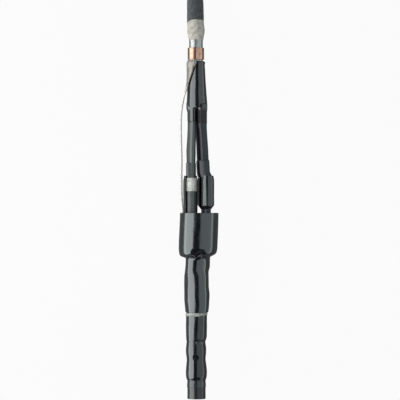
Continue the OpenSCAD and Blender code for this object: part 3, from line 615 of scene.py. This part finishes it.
def coil(name, cx, cz, y0, y1, r_in, r_out, turns, from_deg, replaces, seed, swell, m):
    """A roll spring: one strip wound on itself, whose outer end lies at from_deg."""
    rnd = np.random.default_rng(seed)
    n = int(turns * m)
    share = np.arange(n + 1) / n
    th = math.radians(from_deg) - TAU * turns * (1 - share)
    side = np.interp(share * turns, np.arange(int(turns) + 2), rnd.uniform(-0.45, 0.45, int(turns) + 2))
    pitch = (r_out - r_in) / turns
    mid = r_in + pitch / 2 + (r_out - r_in - pitch) * share + swell(th)
    half = pitch * 0.42
    # the strip's section: share of the half thickness, share of the width, rounding
    prof = [(-1, 0.0, 0.35), (-0.6, 0.0, 0.0), (0.6, 0.0, 0.0), (1, 0.0, 0.35), (1, 0.5, 0.2), (1, 1.0, 0.35),
            (0.6, 1.0, 0.0), (-0.6, 1.0, 0.0), (-1, 1.0, 0.35), (-1, 0.5, 0.2)]
    rows = []
    for k in range(n + 1):
        row = []
        for s, e, inset in prof:
            r = mid[k] + half * s * (1 + 0.12 * (e == 0.5) * (s > 0))
            y = y0 + side[k] + e * (y1 - y0) + (inset if e == 0.0 else -inset if e == 1.0 else 0.0)
            row.append((cx + r * math.cos(th[k]), y, cz + r * math.sin(th[k])))
        rows.append(row)
    v, f = loft(rows, caps=True)
    return build(name, v, f, "copper", replaces)


def round_angle(th, deg, width):
    """A bump of height 1 round the angle deg."""
    return np.exp(-(off_angle(th, deg) / width) ** 2)


coil("roll_spring_strip", -8.0, AXIS_Z, 418.6, 453.4, 20.8, 24.9, 6.0, 84, ["earth_clamp"], 6,
     lambda th: 0.55 * round_angle(th, 132, 34), 110)
coil("lower_roll_spring_strip", -21.65, AXIS_Z + 5.19, -90.5, -71.5, 10.5, 14.0, 5.0, 60,
     ["lower_earth_clamp"], 7, lambda th: 0.3 * round_angle(th, 180, 34), 64)


def over_cable(y, x, r, a, half, t):
    """A place of the braid bent over the cable: Y, X of the bow's middle, radius, angle, half angle."""
    return y, x + r * math.cos(math.radians(a)), r * math.sin(math.radians(a)), r, a, half, t


def hanging(y, x, z, a, w, t, bow=12.0):
    """A place of the braid where it hangs free: Y, X, height over the axis, angle, half width."""
    return y, x, z, bow, a, math.degrees(w / bow), t


# The braid's course; the last value of each place is half the thickness
BRAID = [over_cable(*place) for place in (
    (450, -8.0, 21.8, 132, 44, 1.0), (422, -8.0, 21.8, 132, 44, 1.0), (416.5, -7.8, 23.0, 132, 45, 1.0),
    (412.5, -7.4, 25.6, 132, 46, 1.0), (408.5, -6.9, 27.6, 133, 46, 1.1), (402, -6.3, 28.2, 137, 42, 1.2),
    (394, -6.0, 28.2, 141, 36, 1.2), (376, -5.8, 28.4, 148, 28, 1.2), (360, -5.6, 28.7, 155, 19, 1.4),
    (346, -5.2, 29.6, 161, 13, 1.6))]
BRAID += [hanging(*place) for place in (
    (334, -35.6, 9, 150, 5.0, 1.7), (326, -38.2, 7, 138, 4.2, 1.8), (318, -41.2, 5, 126, 3.9, 1.8),
    (306, -45.0, 3, 116, 3.7, 1.8), (294, -47.6, 1, 108, 3.6, 1.8), (280, -49.8, -1, 102, 3.6, 1.8),
    (260, -52.2, -4, 100, 3.2, 1.7), (236, -53.4, -7, 98, 3.1, 1.7), (212, -53.9, -9, 98, 3.1, 1.7),
    (188, -53.2, -11, 98, 3.1, 1.7), (162, -52.4, -12, 98, 3.1, 1.7), (136, -51.8, -13, 98, 3.1, 1.7),
    (110, -51.4, -13, 98, 3.1, 1.7), (84, -51.9, -13, 98, 3.1, 1.7), (58, -51.7, -12, 98, 3.1, 1.7),
    (32, -51.5, -10, 98, 3.1, 1.7), (8, -51.2, -8, 98, 3.2, 1.7), (-14, -50.2, -7, 104, 3.3, 1.7),
    (-30, -48.8, -5, 118, 3.4, 1.7), (-42, -48.1, -2.5, 140, 3.4, 1.5), (-50, -47.1, -1, 150, 3.4, 1.4),
    (-57, -43.6, 0.5, 160, 3.6, 1.2), (-66, -36.5, 4.2, 176, 4.0, 1.0), (-84, -34.0, 5.2, 180, 4.4, 0.9))]


def braid_frame(y):
    """Middle, bow radius, angle, half width and half thickness of the braid at places along Y."""
    x, z, r, a, half, t = table_at(BRAID, y, 4.0)
    a = np.radians(a)
    return x - r * np.cos(a), z - r * np.sin(a) + AXIS_Z, r, a, r * np.radians(half), t


def braid_point(y, e, off):
    """A point on the flat tube at share e of the way round it, off millimetres out from its wall."""
    cx, cz, r, a, half, t = braid_frame(y)
    flat = 2 * np.maximum(half - t, 0.2)
    s = (e % 1.0) * (2 * flat + TAU * t)
    cap = math.pi * t
    on_top = s < flat
    on_left = (s >= flat) & (s < flat + cap)
    on_back = (s >= flat + cap) & (s < 2 * flat + cap)
    turn = np.where(on_left, math.pi / 2 + (s - flat) / t,
                    np.where(on_back, 3 * math.pi / 2, 3 * math.pi / 2 + (s - 2 * flat - cap) / t))
    turn = np.where(on_top, math.pi / 2, turn)
    across = np.where(on_back, -flat / 2 + (s - flat - cap), flat / 2)
    across = np.where(on_top, flat / 2 - s, np.where(on_left, -flat / 2, across))
    across = across + (t + off) * np.cos(turn)
    out = (t + off) * np.sin(turn)
    ang = a - across / r
    return np.stack([cx + (r + out) * np.cos(ang), y + 0 * ang, cz + (r + out) * np.sin(ang)], -1)


def braid_sleeving(name, carriers=12, step=2.4, wires=4):
    """A flat tube of strips of wires that cross over and under each other."""
    ys = np.arange(449.0, -83.0, -step)
    cx, cz, r, a, half, t = braid_frame(ys)
    mid = np.stack([cx + r * np.cos(a), ys, cz + r * np.sin(a)], -1)
    run = np.concatenate([[0], np.cumsum(np.linalg.norm(np.diff(mid, axis=0), axis=1))])
    # a strip goes once round the tube in 1.25 times the length of the tube's outline
    lay = 1.25 * (4 * half + (TAU - 4) * t)
    turns = np.concatenate([[0], np.cumsum(np.diff(run) * 0.5 * (1 / lay[1:] + 1 / lay[:-1]))])
    parts = []
    across = np.linspace(-0.43, 0.43, 2 * wires + 1) / carriers
    rise = np.abs(np.sin(np.linspace(0, wires * math.pi, 2 * wires + 1)))
    for way in (1, -1):
        for k in range(carriers):
            m = 2 * carriers * turns
            phase = m + 2 * k if way == 1 else 2 * k - m
            over = way * np.clip(1.5 * np.sin(math.pi / 2 * phase + math.pi / 4), -1, 1)
            e = k / carriers + way * turns
            lift = 0.3 + 0.26 * over
            rows = []
            for i, y in enumerate(ys):
                ee = np.concatenate([e[i] + across, e[i] + across[[-1, 0]] * 0.9])
                off = np.concatenate([lift[i] + 0.1 + 0.16 * rise, [lift[i] - 0.2] * 2])
                rows.append(braid_point(np.full(len(ee), y), ee, off))
            parts.append(loft(rows, caps=True))
    core = [braid_point(np.full(20, y), np.arange(20) / 20, np.full(20, -0.2)) for y in ys[::4]]
    parts.append(loft(core, caps=True))
    v, f = join(parts)
    return build(name, v, f, "braid", ["earth_braid"])


braid_sleeving("braid_woven")


def circle_row(x, y, z, r, m, side=None):
    """A ring of m points across Y, with the unround section of a core if a side is named."""
    th = around(m)
    r = r + (section(side, th) if side else 0.0)
    return np.stack([x + r * np.cos(th), np.full(m, y), z + r * np.sin(th)], -1)


def remeshed(obj, voxel, rounds):
    """Merges the closed skins of a piece into one and smooths it."""
    mod = obj.modifiers.new("remesh", "REMESH")
    mod.mode = "VOXEL"
    mod.voxel_size = voxel * MM
    mod.use_smooth_shade = True
    mod = obj.modifiers.new("smooth", "SMOOTH")
    mod.factor = 0.5
    mod.iterations = rounds
    graph = bpy.context.evaluated_depsgraph_get()
    mesh = bpy.data.meshes.new_from_object(obj.evaluated_get(graph))
    mats = [s.material for s in obj.material_slots]
    obj.modifiers.clear()
    obj.data = mesh
    obj.data.materials.clear()
    for mat in mats:
        obj.data.materials.append(mat)
    obj.data.polygons.foreach_set("use_smooth", [True] * len(mesh.polygons))
    return obj


# The boot's body: Y, left edge, right edge
BOOT = [(413.6, -28.4, 17.4), (412.6, -30.0, 18.9), (410, -31.0, 19.9), (406, -31.0, 19.9), (404, -30.0, 19.0),
        (401, -29.8, 18.9), (385, -30.4, 19.7), (365, -31.2, 20.8), (345, -32.4, 22.1), (325, -33.7, 23.4),
        (305, -34.6, 24.9), (290, -35.1, 25.9), (280, -34.9, 26.4), (276.0, -33.8, 25.4), (273.0, -31.2, 22.8),
        (270.5, -27.0, 18.6), (269.0, -20.0, 12.0)]
# Its fingers: core, Y of the tip, how much wider they start
FINGERS = (("left", 230.0, 3.4), ("right", 226.0, 1.2), ("back", 227.0, 1.0))


def breakout(name, finger_r, bore, cup_r, cup_x, replaces, seed):
    """A body with a mouth for the cable, and a finger with a mouth for each core."""
    top, low = BOOT[0][0], BOOT[-1][0]
    mouth = ((top - 5, 0.5), (top - 5, cup_r), (top + 0.2, cup_r))
    rows = [circle_row(cup_x, y, AXIS_Z, r, 96) for y, r in mouth]
    th = around(96)
    for y in np.arange(top, low, -1.2):
        near_end = abs(y - top) < 14 or abs(y - low) < 12
        xl, xr = table_at(BOOT, y, 0.8 if near_end else 5.0)
        r = (xr - xl) / 2 + 1.5 * np.sin(2 * th) + ripple(th, y, seed, 0.2, (2, 3), 60)
        rows.append(circle_row((xl + xr) / 2, y, AXIS_Z, r, 96))
    parts = [loft(rows, caps=True)]
    rnd = np.random.default_rng(seed)
    for side, tip, flare in FINGERS:
        prof = [(tip + 4.5, 0.5), (tip + 4.5, bore), (tip, bore), (tip - 0.35, bore + 0.25),
                (tip - 0.35, finger_r - 0.3), (tip + 0.3, finger_r + 0.15), (tip + 2, finger_r + 0.1)]
        for y in np.arange(tip + 5, tip + 60, 3.0):
            wavy = 0.12 * math.sin(y * 0.33 + rnd.uniform(0, 1))
            prof.append((y, finger_r + wavy + flare * smooth_step(y, 258, 275)))
        rows = []
        for y, r in prof:
            x, _, z = core_at(SIDES[side], y, 6.0)[0]
            rows.append(circle_row(x, y, z, r, 64, side if r > 1 else None))
        parts.append(loft(rows, caps=True))
    v, f = join(parts)
    return remeshed(build(name, v, f, "moulding", replaces), voxel=1.15, rounds=5)


breakout("breakout_boot", 14.2, 13.75, 21.4, -7.8, ["upper_breakout"], 51)


def creases(seed, count, depth, thin, thick):
    """Lengthwise folds that run along a shrunk tube."""
    rnd = np.random.default_rng(seed)
    # where, how wide, how high and how slanted each fold is
    spans = ((0, TAU), (thin, thick), (0.5, 1.0), (-0.004, 0.004))
    folds = [[rnd.uniform(*span) for span in spans] for _ in range(count)]

    def fn(th, y):
        out = 0.0
        for at, width, size, twist in folds:
            a = (th - at - twist * y + math.pi) % TAU - math.pi
            out = out + size * (np.exp(-(a / width) ** 2) - 0.5 * np.exp(-((a - 2 * width) / width) ** 2))
        return depth * out
    return fn


# The bare cores: outside and inside radius, then Y of the ends of the tube round each core
CORE_TUBE = (13.5, 10.1)
INNER_TUBE = (15.35, 13.7)
INNER_ENDS = {"left": (108.0, -60.5), "right": (115.8, -17.5), "back": (115.8, -17.5)}


def core_tube(side, angle, seed):
    def uneven(th, y):
        swell = 0.0
        if side == "left":
            swell = 1.2 * math.exp(-((y - 141) / 26) ** 2)
        if side == "right":
            # drawn tighter than the others, and a little to the right
            swell = (1.3 * np.cos(th) - 1.3) * smooth_step(-y, -222, -208)
        return (section(side, th) * smooth_step(y, 64, 78) + swell + ripple(th, y, seed, 0.14, (2, 3), 60)
                - 1.1 * smooth_step(y, 229, 233))
    core_shell("core_tube_" + side, angle, 61.5, 286.0, *CORE_TUBE, "core_tube", [side + "_core_tube"],
               2.2, 72, uneven)


def inner_tube(side, angle, seed):
    fold = creases(seed, 10, 0.35 if side == "left" else 0.6, 0.12, 0.22)

    def uneven(th, y):
        fuller = 0.0
        if side == "left":
            # the opened core is a little fuller on its left, with one fold along it
            fuller = (1.2 * round_angle(th, 178, 34) - 0.75 * round_angle(th, 110, 5)
                      + 0.3 * round_angle(th, 119, 5)) * smooth_step(-y, -26, -20)
        return section(side, th) * smooth_step(y, 64, 74) + fold(th, y) + fuller
    core_shell("inner_tube_" + side, angle, *INNER_ENDS[side], *INNER_TUBE, "inner_tube",
               [side + "_inner_tube"], 2.2, 120, uneven, 0.5)


for i, (side, angle) in enumerate(SIDES.items()):
    core_tube(side, angle, 60 + i)
    inner_tube(side, angle, 70 + i)


def wire_tube(points, r, m):
    return loft(sweep_rows(points, lambda th, i: r * np.ones_like(th), m), caps=True)


def screen(name, angle, y0, y1, r, pitch, wire, replaces, fold=0.0):
    """A mesh of round wires, woven over and under, on a thin foil."""
    c = core_at(angle, 30.0)[0]
    n_len = int(round(TAU * r / pitch / 2)) * 2
    n_hoop = int(round((y1 - y0) / pitch))
    amp = wire * 0.95
    parts = []
    ys = np.linspace(y0, y1, n_hoop * 3 + 1)
    for k in range(n_len):
        th = TAU * k / n_len + 0.02 * np.sin(ys * 0.16 + k * 0.7)
        rad = r + amp * np.cos(math.pi * ((ys - y0) / pitch + k)) + fold * smooth_step(ys, y1 - 2.5, y1)
        parts.append(wire_tube(np.stack([c[0] + rad * np.cos(th), ys, c[2] + rad * np.sin(th)], -1), wire, 4))
    th = around(n_len * 3)
    for j in range(n_hoop + 1):
        y = y0 + j * pitch + 0.22 * np.sin(5 * th + j)
        rad = r - amp * np.cos(math.pi * (j + th / TAU * n_len))
        rows = []
        for i in range(len(th)):
            up = np.array([math.cos(th[i]), 0, math.sin(th[i])])
            mid = np.array([c[0] + rad[i] * up[0], y[i], c[2] + rad[i] * up[2]])
            rows.append([mid + wire * (math.cos(q) * up + math.sin(q) * ALONG) for q in around(4)])
        parts.append(loft(rows, loop=True))
    out, inn = r - 0.25, r - 0.5
    foil = [circle_row(c[0], y, c[2], rr, 72) for y, rr in ((y0, inn), (y0, out), (y1, out), (y1, inn))]
    parts.append(loft(foil, loop=True))
    v, f = join(parts)
    return build(name, v, f, "mesh", replaces)


screen("screen_left", LEFT, 24.6, 63.6, 16.5, 1.5, 0.26, ["left_screen_mesh"], 0.35)
screen("screen_right", RIGHT, -14.5, 60.0, 16.0, 4.2, 0.3, ["right_screen_mesh"])
screen("screen_back", BACK, -14.5, 60.0, 16.0, 4.2, 0.3, ["back_screen_mesh"])

# Joint sleeve: Y and outside radius, from its upper end down to where it grips the core
JOINT = [(70.3, 17.2), (69.5, 17.7), (65.0, 18.6), (60.5, 19.7), (55, 19.9), (10, 19.9), (-8, 19.9), (-17.5, 19.8),
         (-19.5, 19.2), (-24, 15.4), (-27.5, 12.8), (-29.5, 11.8)]
JOINT_TOP, JOINT_LOW = 70.0, -29.2


def joint_sleeve(name, angle, seed, replaces, fold, swell):
    c = core_at(angle, 20.0)[0]
    bump = creases(seed, 9, fold, 0.1, 0.2)

    def outer(th, t):
        y = JOINT_TOP + t * (JOINT_LOW - JOINT_TOP)
        r = table_at(JOINT, y, 0.8)[0] + ripple(th, y, seed, 0.16, (2, 3), 50) + bump(th, y)
        r = r + swell * round_angle(th, 180, 50) * smooth_step(y, -24, -12)
        return c[0] + r * np.cos(th), y, c[2] + r * np.sin(th)

    def inner(th, t):
        y = JOINT_TOP + t * (JOINT_LOW - JOINT_TOP)
        r = 16.85 - 6.0 * smooth_step(-y, 18, 27)
        return c[0] + r * np.cos(th), y, c[2] + r * np.sin(th)
    return shell(name, outer, inner, 100, 100, "sleeve", replaces, lip=0.5, n_in=18)


joint_sleeve("joint_sleeve_right", RIGHT, 81, ["right_sleeve"], 0.34, -2.6)
joint_sleeve("joint_sleeve_back", BACK, 82, ["back_sleeve"], 0.16, 1.3)


def split_sleeve(name, replaces, m=80):
    """The opened sleeve: a thick half shell with rounded cut edges, sprung a little away."""
    c = core_at(LEFT, 20.0)[0]
    cx, cz = c[0] - 2.2, c[2]
    # Y, outside radius
    table = [(70.2, 19.5), (66, 19.8), (61, 20.9), (57, 21.7), (52, 22.0), (40, 22.0), (0, 21.9), (-30, 21.4),
             (-46, 21.0), (-49, 20.6)]
    ri = 19.05
    rows = []
    for y in np.linspace(70.0, -48.6, 84):
        ro = table_at(table, y, 1.2)[0][0]
        # the cut edges run a little uneven
        a0 = 140.0 + 1.2 * math.sin(y * 0.09) + 1.6 * smooth_step(-y, 20, 48)
        a1 = 350.0 + 1.5 * math.sin(y * 0.07 + 1)
        th = np.radians(np.linspace(a0, a1, m))
        wave = ripple(th, y, 91, 0.18, (2, 3), 55)
        half, rc = (ro - ri) / 2, (ro + ri) / 2
        ring_r, ring_t = [ro + wave], [th]
        for end, way, w in ((th[-1], 1, wave[-1]), (th[0], -1, wave[0])):
            p = np.linspace(0, math.pi, 7)[1:-1]
            p = p if way == 1 else p[::-1]
            sq = np.sign(np.cos(p)) * np.abs(np.cos(p)) ** 0.5
            ring_r.append(rc + w * (1 + sq) / 2 + half * sq)
            ring_t.append(end + way * 0.7 * np.sin(p) ** 0.6 / rc)
            if way == 1:
                ring_r.append(np.full(m, ri))
                ring_t.append(th[::-1])
        rr, tt = np.concatenate(ring_r), np.concatenate(ring_t)
        rows.append(np.stack([cx + rr * np.cos(tt), np.full(len(rr), y), cz + rr * np.sin(tt)], -1))
    first, last = rows[0].copy(), rows[-1].copy()
    for row, sgn in ((first, 1), (last, -1)):
        rad = np.hypot(row[:, 0] - cx, row[:, 2] - cz)
        mid_r = 0.5 * (rad.max() + ri)
        k = (mid_r + (rad - mid_r) * 0.6) / rad
        row[:, 0], row[:, 2] = cx + (row[:, 0] - cx) * k, cz + (row[:, 2] - cz) * k
        row[:, 1] += sgn * 0.45
    v, f = loft([first] + rows + [last])
    n_row = len(first)
    # the two end faces, as strips between the outer and the inner arc
    for base in (0, len(rows) * n_row + n_row):
        for i in range(m - 1):
            f.append([base + i, base + i + 1, base + m + 5 + (m - 2 - i), base + m + 5 + (m - 1 - i)])
        edge1 = [base + m - 1 + j for j in range(0, 7)]
        edge0 = [base + (2 * m + 5 + j) % n_row for j in range(-1, 6)]
        f += [edge1, edge0]
    return build(name, v, f, "sleeve", replaces)


split_sleeve("split_sleeve", ["left_sleeve_opened"])


def lower_core_tube(side, angle, seed):
    def uneven(th, y):
        return ripple(th, y, seed, 0.07, (2, 3), 50)
    core_shell("lower_core_tube_" + side, angle, -26.5, -290.0, 10.2, 9.4, "core_tube", [side + "_lower_tube"],
               5.0, 64, uneven)


for i, (side, angle) in enumerate(SIDES.items()):
    lower_core_tube(side, angle, 100 + i)

# The outer sleeve: Y, left edge, right edge
SLEEVE = [(-41, -55.4, 60.1), (-80, -56.8, 59.4), (-120, -58.9, 57.9), (-148, -59.6, 56.8), (-157, -58.8, 55.2),
          (-162, -57.9, 53.0), (-166, -56.8, 48.8), (-169, -55.2, 42.8), (-171.5, -52.2, 37.6),
          (-173.5, -46.0, 34.9), (-175.5, -40.0, 33.9), (-178.5, -37.5, 33.6), (-185, -37.6, 33.6),
          (-203, -39.0, 33.5), (-212, -40.2, 31.5), (-222, -41.8, 30.7), (-232, -42.8, 30.6),
          (-262, -42.8, 30.8), (-284, -42.6, 32.8), (-294, -42.4, 32.8), (-312, -41.4, 32.0),
          (-322, -40.8, 31.6), (-338, -40.0, 29.6)]
SLEEVE_TOP, SLEEVE_LOW = -41.5, -337.5
# Its slope between the cores: Y, radius
SLOPE = [(-140, 58.1), (-147, 57.6), (-150, 56.2), (-178, 38.2), (-181, 36.0), (-184, 35.8)]


def sleeve_outer(th, t):
    y = SLEEVE_TOP + t * (SLEEVE_LOW - SLEEVE_TOP)
    xl, xr = table_at(SLEEVE, y, 1.5)
    cx, hw = (xl + xr) / 2, (xr - xl) / 2
    # between the cores the sleeve is drawn in, with a long slope instead of the shoulder
    hollow = sum(w * np.exp(-(off_angle(th, d) / s) ** 4)
                 for d, w, s in ((86, 1.0, 21), (208, 0.9, 20), (330, 0.9, 20)))
    slope = table_at(SLOPE, y, 1.0)[0]
    hw = hw + hollow * (slope - hw) * (smooth_step(y, -143, -149) * (1 - smooth_step(y, -180, -184)))
    # the neck is not round, and its long way turns from one side to the other
    tilt = (3.0 * smooth_step(y, -172, -184) * (1 - smooth_step(y, -206, -232))
            - 1.9 * smooth_step(y, -206, -236))
    dimple = 1.5 * np.exp(-(off_angle(th, 101) / 4.0) ** 2 - ((y + 168) / 3.2) ** 2)
    pucker = (0.5 * hollow * smooth_step(y, -150, -158) * (1 - smooth_step(y, -172, -180))
              * np.sin(11 * th + 0.35 * y))
    wave = ripple(th, y, 5, 0.35, (2, 3, 4), 70) * (0.4 + smooth_step(y, -150, -176))
    r = hw - tilt * np.sin(2 * th) + dimple + pucker + wave
    # flat where it rests
    return cx + r * np.cos(th), y, np.maximum(AXIS_Z + r * np.sin(th), 0.15)


def inside(outer, wall):
    """The inner face of a sleeve, wall millimetres in from its outer face."""
    def inner(th, t):
        x, y, z = outer(th, t)
        cx = x.mean()
        k = 1 - wall / np.maximum(np.hypot(x - cx, z - AXIS_Z), 20)
        return cx + (x - cx) * k, y, AXIS_Z + (z - AXIS_Z) * k
    return inner


shell("sleeve_outer", sleeve_outer, inside(sleeve_outer, 3.9), 190, 150, "outer_sleeve", ["outer_sleeve"],
      lip=0.5, n_in=30)

# The end sleeve: Y, left edge, right edge
END = [(-338, -37.2, 25.2), (-350, -37.4, 25.4), (-380, -37.6, 25.6), (-410, -37.4, 25.2), (-418, -36.9, 23.6),
       (-427, -35.7, 20.3), (-434, -36.6, 21.4), (-442, -37.5, 22.8), (-451, -37.8, 23.2), (-461, -37.4, 22.8),
       (-471, -36.2, 22.0), (-482, -35.2, 21.5), (-492, -36.0, 22.8), (-504, -37.2, 24.4), (-516, -38.0, 25.4),
       (-527, -38.0, 25.2), (-535, -37.0, 24.0), (-540, -35.4, 22.4), (-542, -34.4, 21.6)]
END_TOP, END_LOW = -338.5, -541.5
# Marks where it is pinched in: Y, half length, sharpness, depth, angle, half width
PINCHES = ((-426.5, 3.8, 1.6, 3.0, 66, 26), (-473, 6.0, 3, 1.7, 92, 15), (-475.5, 3.0, 3, 1.0, 82, 18),
           (-538, 4.2, 3, 1.6, 86, 15), (-427, 4.0, 3, 1.5, 215, 30), (-478, 5.0, 3, 1.5, 300, 24))


def pressed(th, y, at, half_length, sharp, angle, half_width):
    """A dent of depth 1 with a flat bottom."""
    return np.exp(-(np.abs(y - at) / half_length) ** sharp - (off_angle(th, angle) / half_width) ** 4)


def end_outer(th, t):
    y = END_TOP + t * (END_LOW - END_TOP)
    xl, xr = table_at(END, y, 3.0)
    cx, hw = (xl + xr) / 2, (xr - xl) / 2
    pinch = sum(d * pressed(th, y, p, w, q, a, s) for p, w, q, d, a, s in PINCHES)
    unround = 1.3 * np.sin(2 * th) * smooth_step(y, -410, -350)
    r = hw - pinch + unround + ripple(th, y, 11, 0.22, (2, 3, 5), 55)
    return cx + r * np.cos(th), y, AXIS_Z + r * np.sin(th)


shell("end_sleeve_skin", end_outer, inside(end_outer, 1.2), 140, 120, "outer_sleeve", ["end_sleeve"],
      lip=0.9, n_in=60)

# The end tape, wound in two widths, and the cable's sheath below it
TAPE = [(-543.2, -33.0, 21.0), (-544.5, -33.6, 21.6), (-550.2, -33.7, 21.7), (-551.0, -34.1, 22.1),
        (-561.4, -34.2, 22.2), (-562.2, -34.6, 22.6), (-563.6, -34.3, 22.3)]
SHEATH = [(-300, -32.4, 20.4), (-563.0, -32.4, 20.4), (-564.0, -33.4, 21.4), (-590, -33.5, 21.5),
          (-598, -33.4, 21.4)]


def tape_hollow(th, y):
    return ripple(th, y, 121, 0.14, (2, 3, 5), 20) - 0.9 * pressed(th, y, -556.2, 4.6, 4, 85, 13)


turned_skin("end_tape_wound", TAPE, -543.6, line_at(-563.2), 26.6, LOW_X, "tape", ["end_tape"],
            44, 120, 0.5, tape_hollow, 0.25)


def sheath_uneven(th, y):
    # pressed in under the pinch of the end sleeve
    return ripple(th, y, 122, 0.12, (2, 3, 4), 70) - 1.75 * pressed(th, y, -426.5, 9.0, 4, 66, 34)


turned_skin("lower_sheath_skin", SHEATH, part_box("lower_sheath")[1][1] / MM - 0.3, line_at(-597.7), 24.4, LOW_X,
            "sheath", ["lower_sheath"], 110, 120, 1.0, sheath_uneven, 0.3)


def mastic_ring(th, a):
    """One line round the cable at angle a of the bead's section, which runs uneven and slightly slanted."""
    y = -344.3 + 1.4 * np.cos(th) + 0.7 * np.sin(3 * th + 1) + 0.5 * np.sin(7 * th)
    half = 5.3 + 0.6 * np.sin(2 * th + 0.5) + 0.4 * np.sin(5 * th)
    rise = 31.4 + 1.6 * np.maximum(np.cos(a), -0.6) + 0.25 * np.sin(11 * th + 2 * a) + 0.3 * np.sin(6 * th)
    return np.stack([LOW_X + rise * np.cos(th), y + half * np.sin(a), AXIS_Z + rise * np.sin(th)], -1)


bead, bead_faces = loft([mastic_ring(around(160), a) for a in around(22)], loop=True)
build("mastic_bead", bead, bead_faces, "mastic", ["seal_mastic"])


def pale(name, value):
    k = Look(name, (value, value, value), 0.9, spec=0.1)
    k.colour(k.mix(k.noise(3, 2, 0.5), (value, value, value), (value * 0.985,) * 3))
    return k


def shown_white(k, to_camera, to_gloss):
    """Shows a white of strength 1 over those shares of the surface's own look."""
    ray = k.node("ShaderNodeLightPath")
    gloss = k.math("MAXIMUM", ray.outputs["Is Glossy Ray"], ray.outputs["Is Transmission Ray"])
    seen = k.math("MAXIMUM", k.times(ray.outputs["Is Camera Ray"], to_camera), k.times(gloss, to_gloss))
    glow = k.node("ShaderNodeEmission")
    glow.inputs["Strength"].default_value = 1.0
    blend = k.node("ShaderNodeMixShader")
    k.put(blend.inputs[0], seen)
    k.put(blend.inputs[1], k.p.outputs[0])
    k.put(blend.inputs[2], glow.outputs[0])
    out = [n for n in k.t.nodes if n.type == "OUTPUT_MATERIAL"][0]
    k.put(out.inputs["Surface"], blend.outputs[0])
    return k


# The floor and the wall round it, in metres
FLOOR_R, FLOOR_Z, WALL_H = 9.0, -0.0004, 1.7


def scenery(name, heights, faces, look):
    """A piece of the surroundings from rings of 96 points at those heights."""
    mesh = bpy.data.meshes.new(name)
    mesh.from_pydata([(FLOOR_R * math.cos(a), FLOOR_R * math.sin(a), z) for z in heights for a in around(96)],
                     [], faces)
    mesh.materials.append(look.m)
    obj = bpy.data.objects.new(name, mesh)
    scene.collection.objects.link(obj)
    return obj


floor_look = pale("floor_pale", 0.24)
away = floor_look.node("ShaderNodeVectorMath", operation="LENGTH")
floor_look.put(away.inputs[0], floor_look.at)
# painted shade: next to the object the floor shows reflections its own dark grey look, in place of the object's
# shadow there; farther off it shows them white
shown_white(floor_look, 0.95, floor_look.ramp(away.outputs["Value"], 1.4, 2.2, 0.06, 1.0))
floor = scenery("floor", (FLOOR_Z,), [list(range(96))], floor_look)

panels = [(i, (i + 1) % 96, 96 + (i + 1) % 96, 96 + i) for i in range(96)]
wall_look = shown_white(Look("backdrop_pale", (0.85, 0.85, 0.85), 0.9), 1.0, 1.0)
wall = scenery("backdrop", (FLOOR_Z, WALL_H), panels, wall_look)

world = bpy.data.worlds.new("world")
scene.world = world
world.use_nodes = True
world.node_tree.nodes["Background"].inputs["Color"].default_value = (0.035, 0.04, 0.048, 1)
world.node_tree.nodes["Background"].inputs["Strength"].default_value = 1.0


def softbox(name, from_deg, to_deg, far, side, radiance, length, tint=(1, 1, 1)):
    """A panel beside the object that covers those angles from straight up, as its axis sees it."""
    mid = math.radians((from_deg + to_deg) / 2)
    half = far * math.tan(math.radians((to_deg - from_deg) / 2))
    data = bpy.data.lights.new(name, "AREA")
    data.shape = "RECTANGLE"
    data.size = 2 * half
    data.size_y = length
    data.color = tint
    data.energy = radiance * math.pi * 2 * half * length
    obj = bpy.data.objects.new(name, data)
    obj.location = (side * far * math.sin(mid), 0.0, far * math.cos(mid) + AXIS_Z * MM)
    obj.rotation_euler = (0, side * mid, 0)
    obj.visible_camera = False
    scene.collection.objects.link(obj)
    return obj


softbox("light_left", 31, 92, 1.3, -1, 3.6, 2.8, (0.98, 1.0, 0.985))
softbox("light_right", 9, 93, 1.1, 1, 1.02, 2.8, (0.94, 1.0, 1.02))

scene.view_settings.view_transform = "Standard"
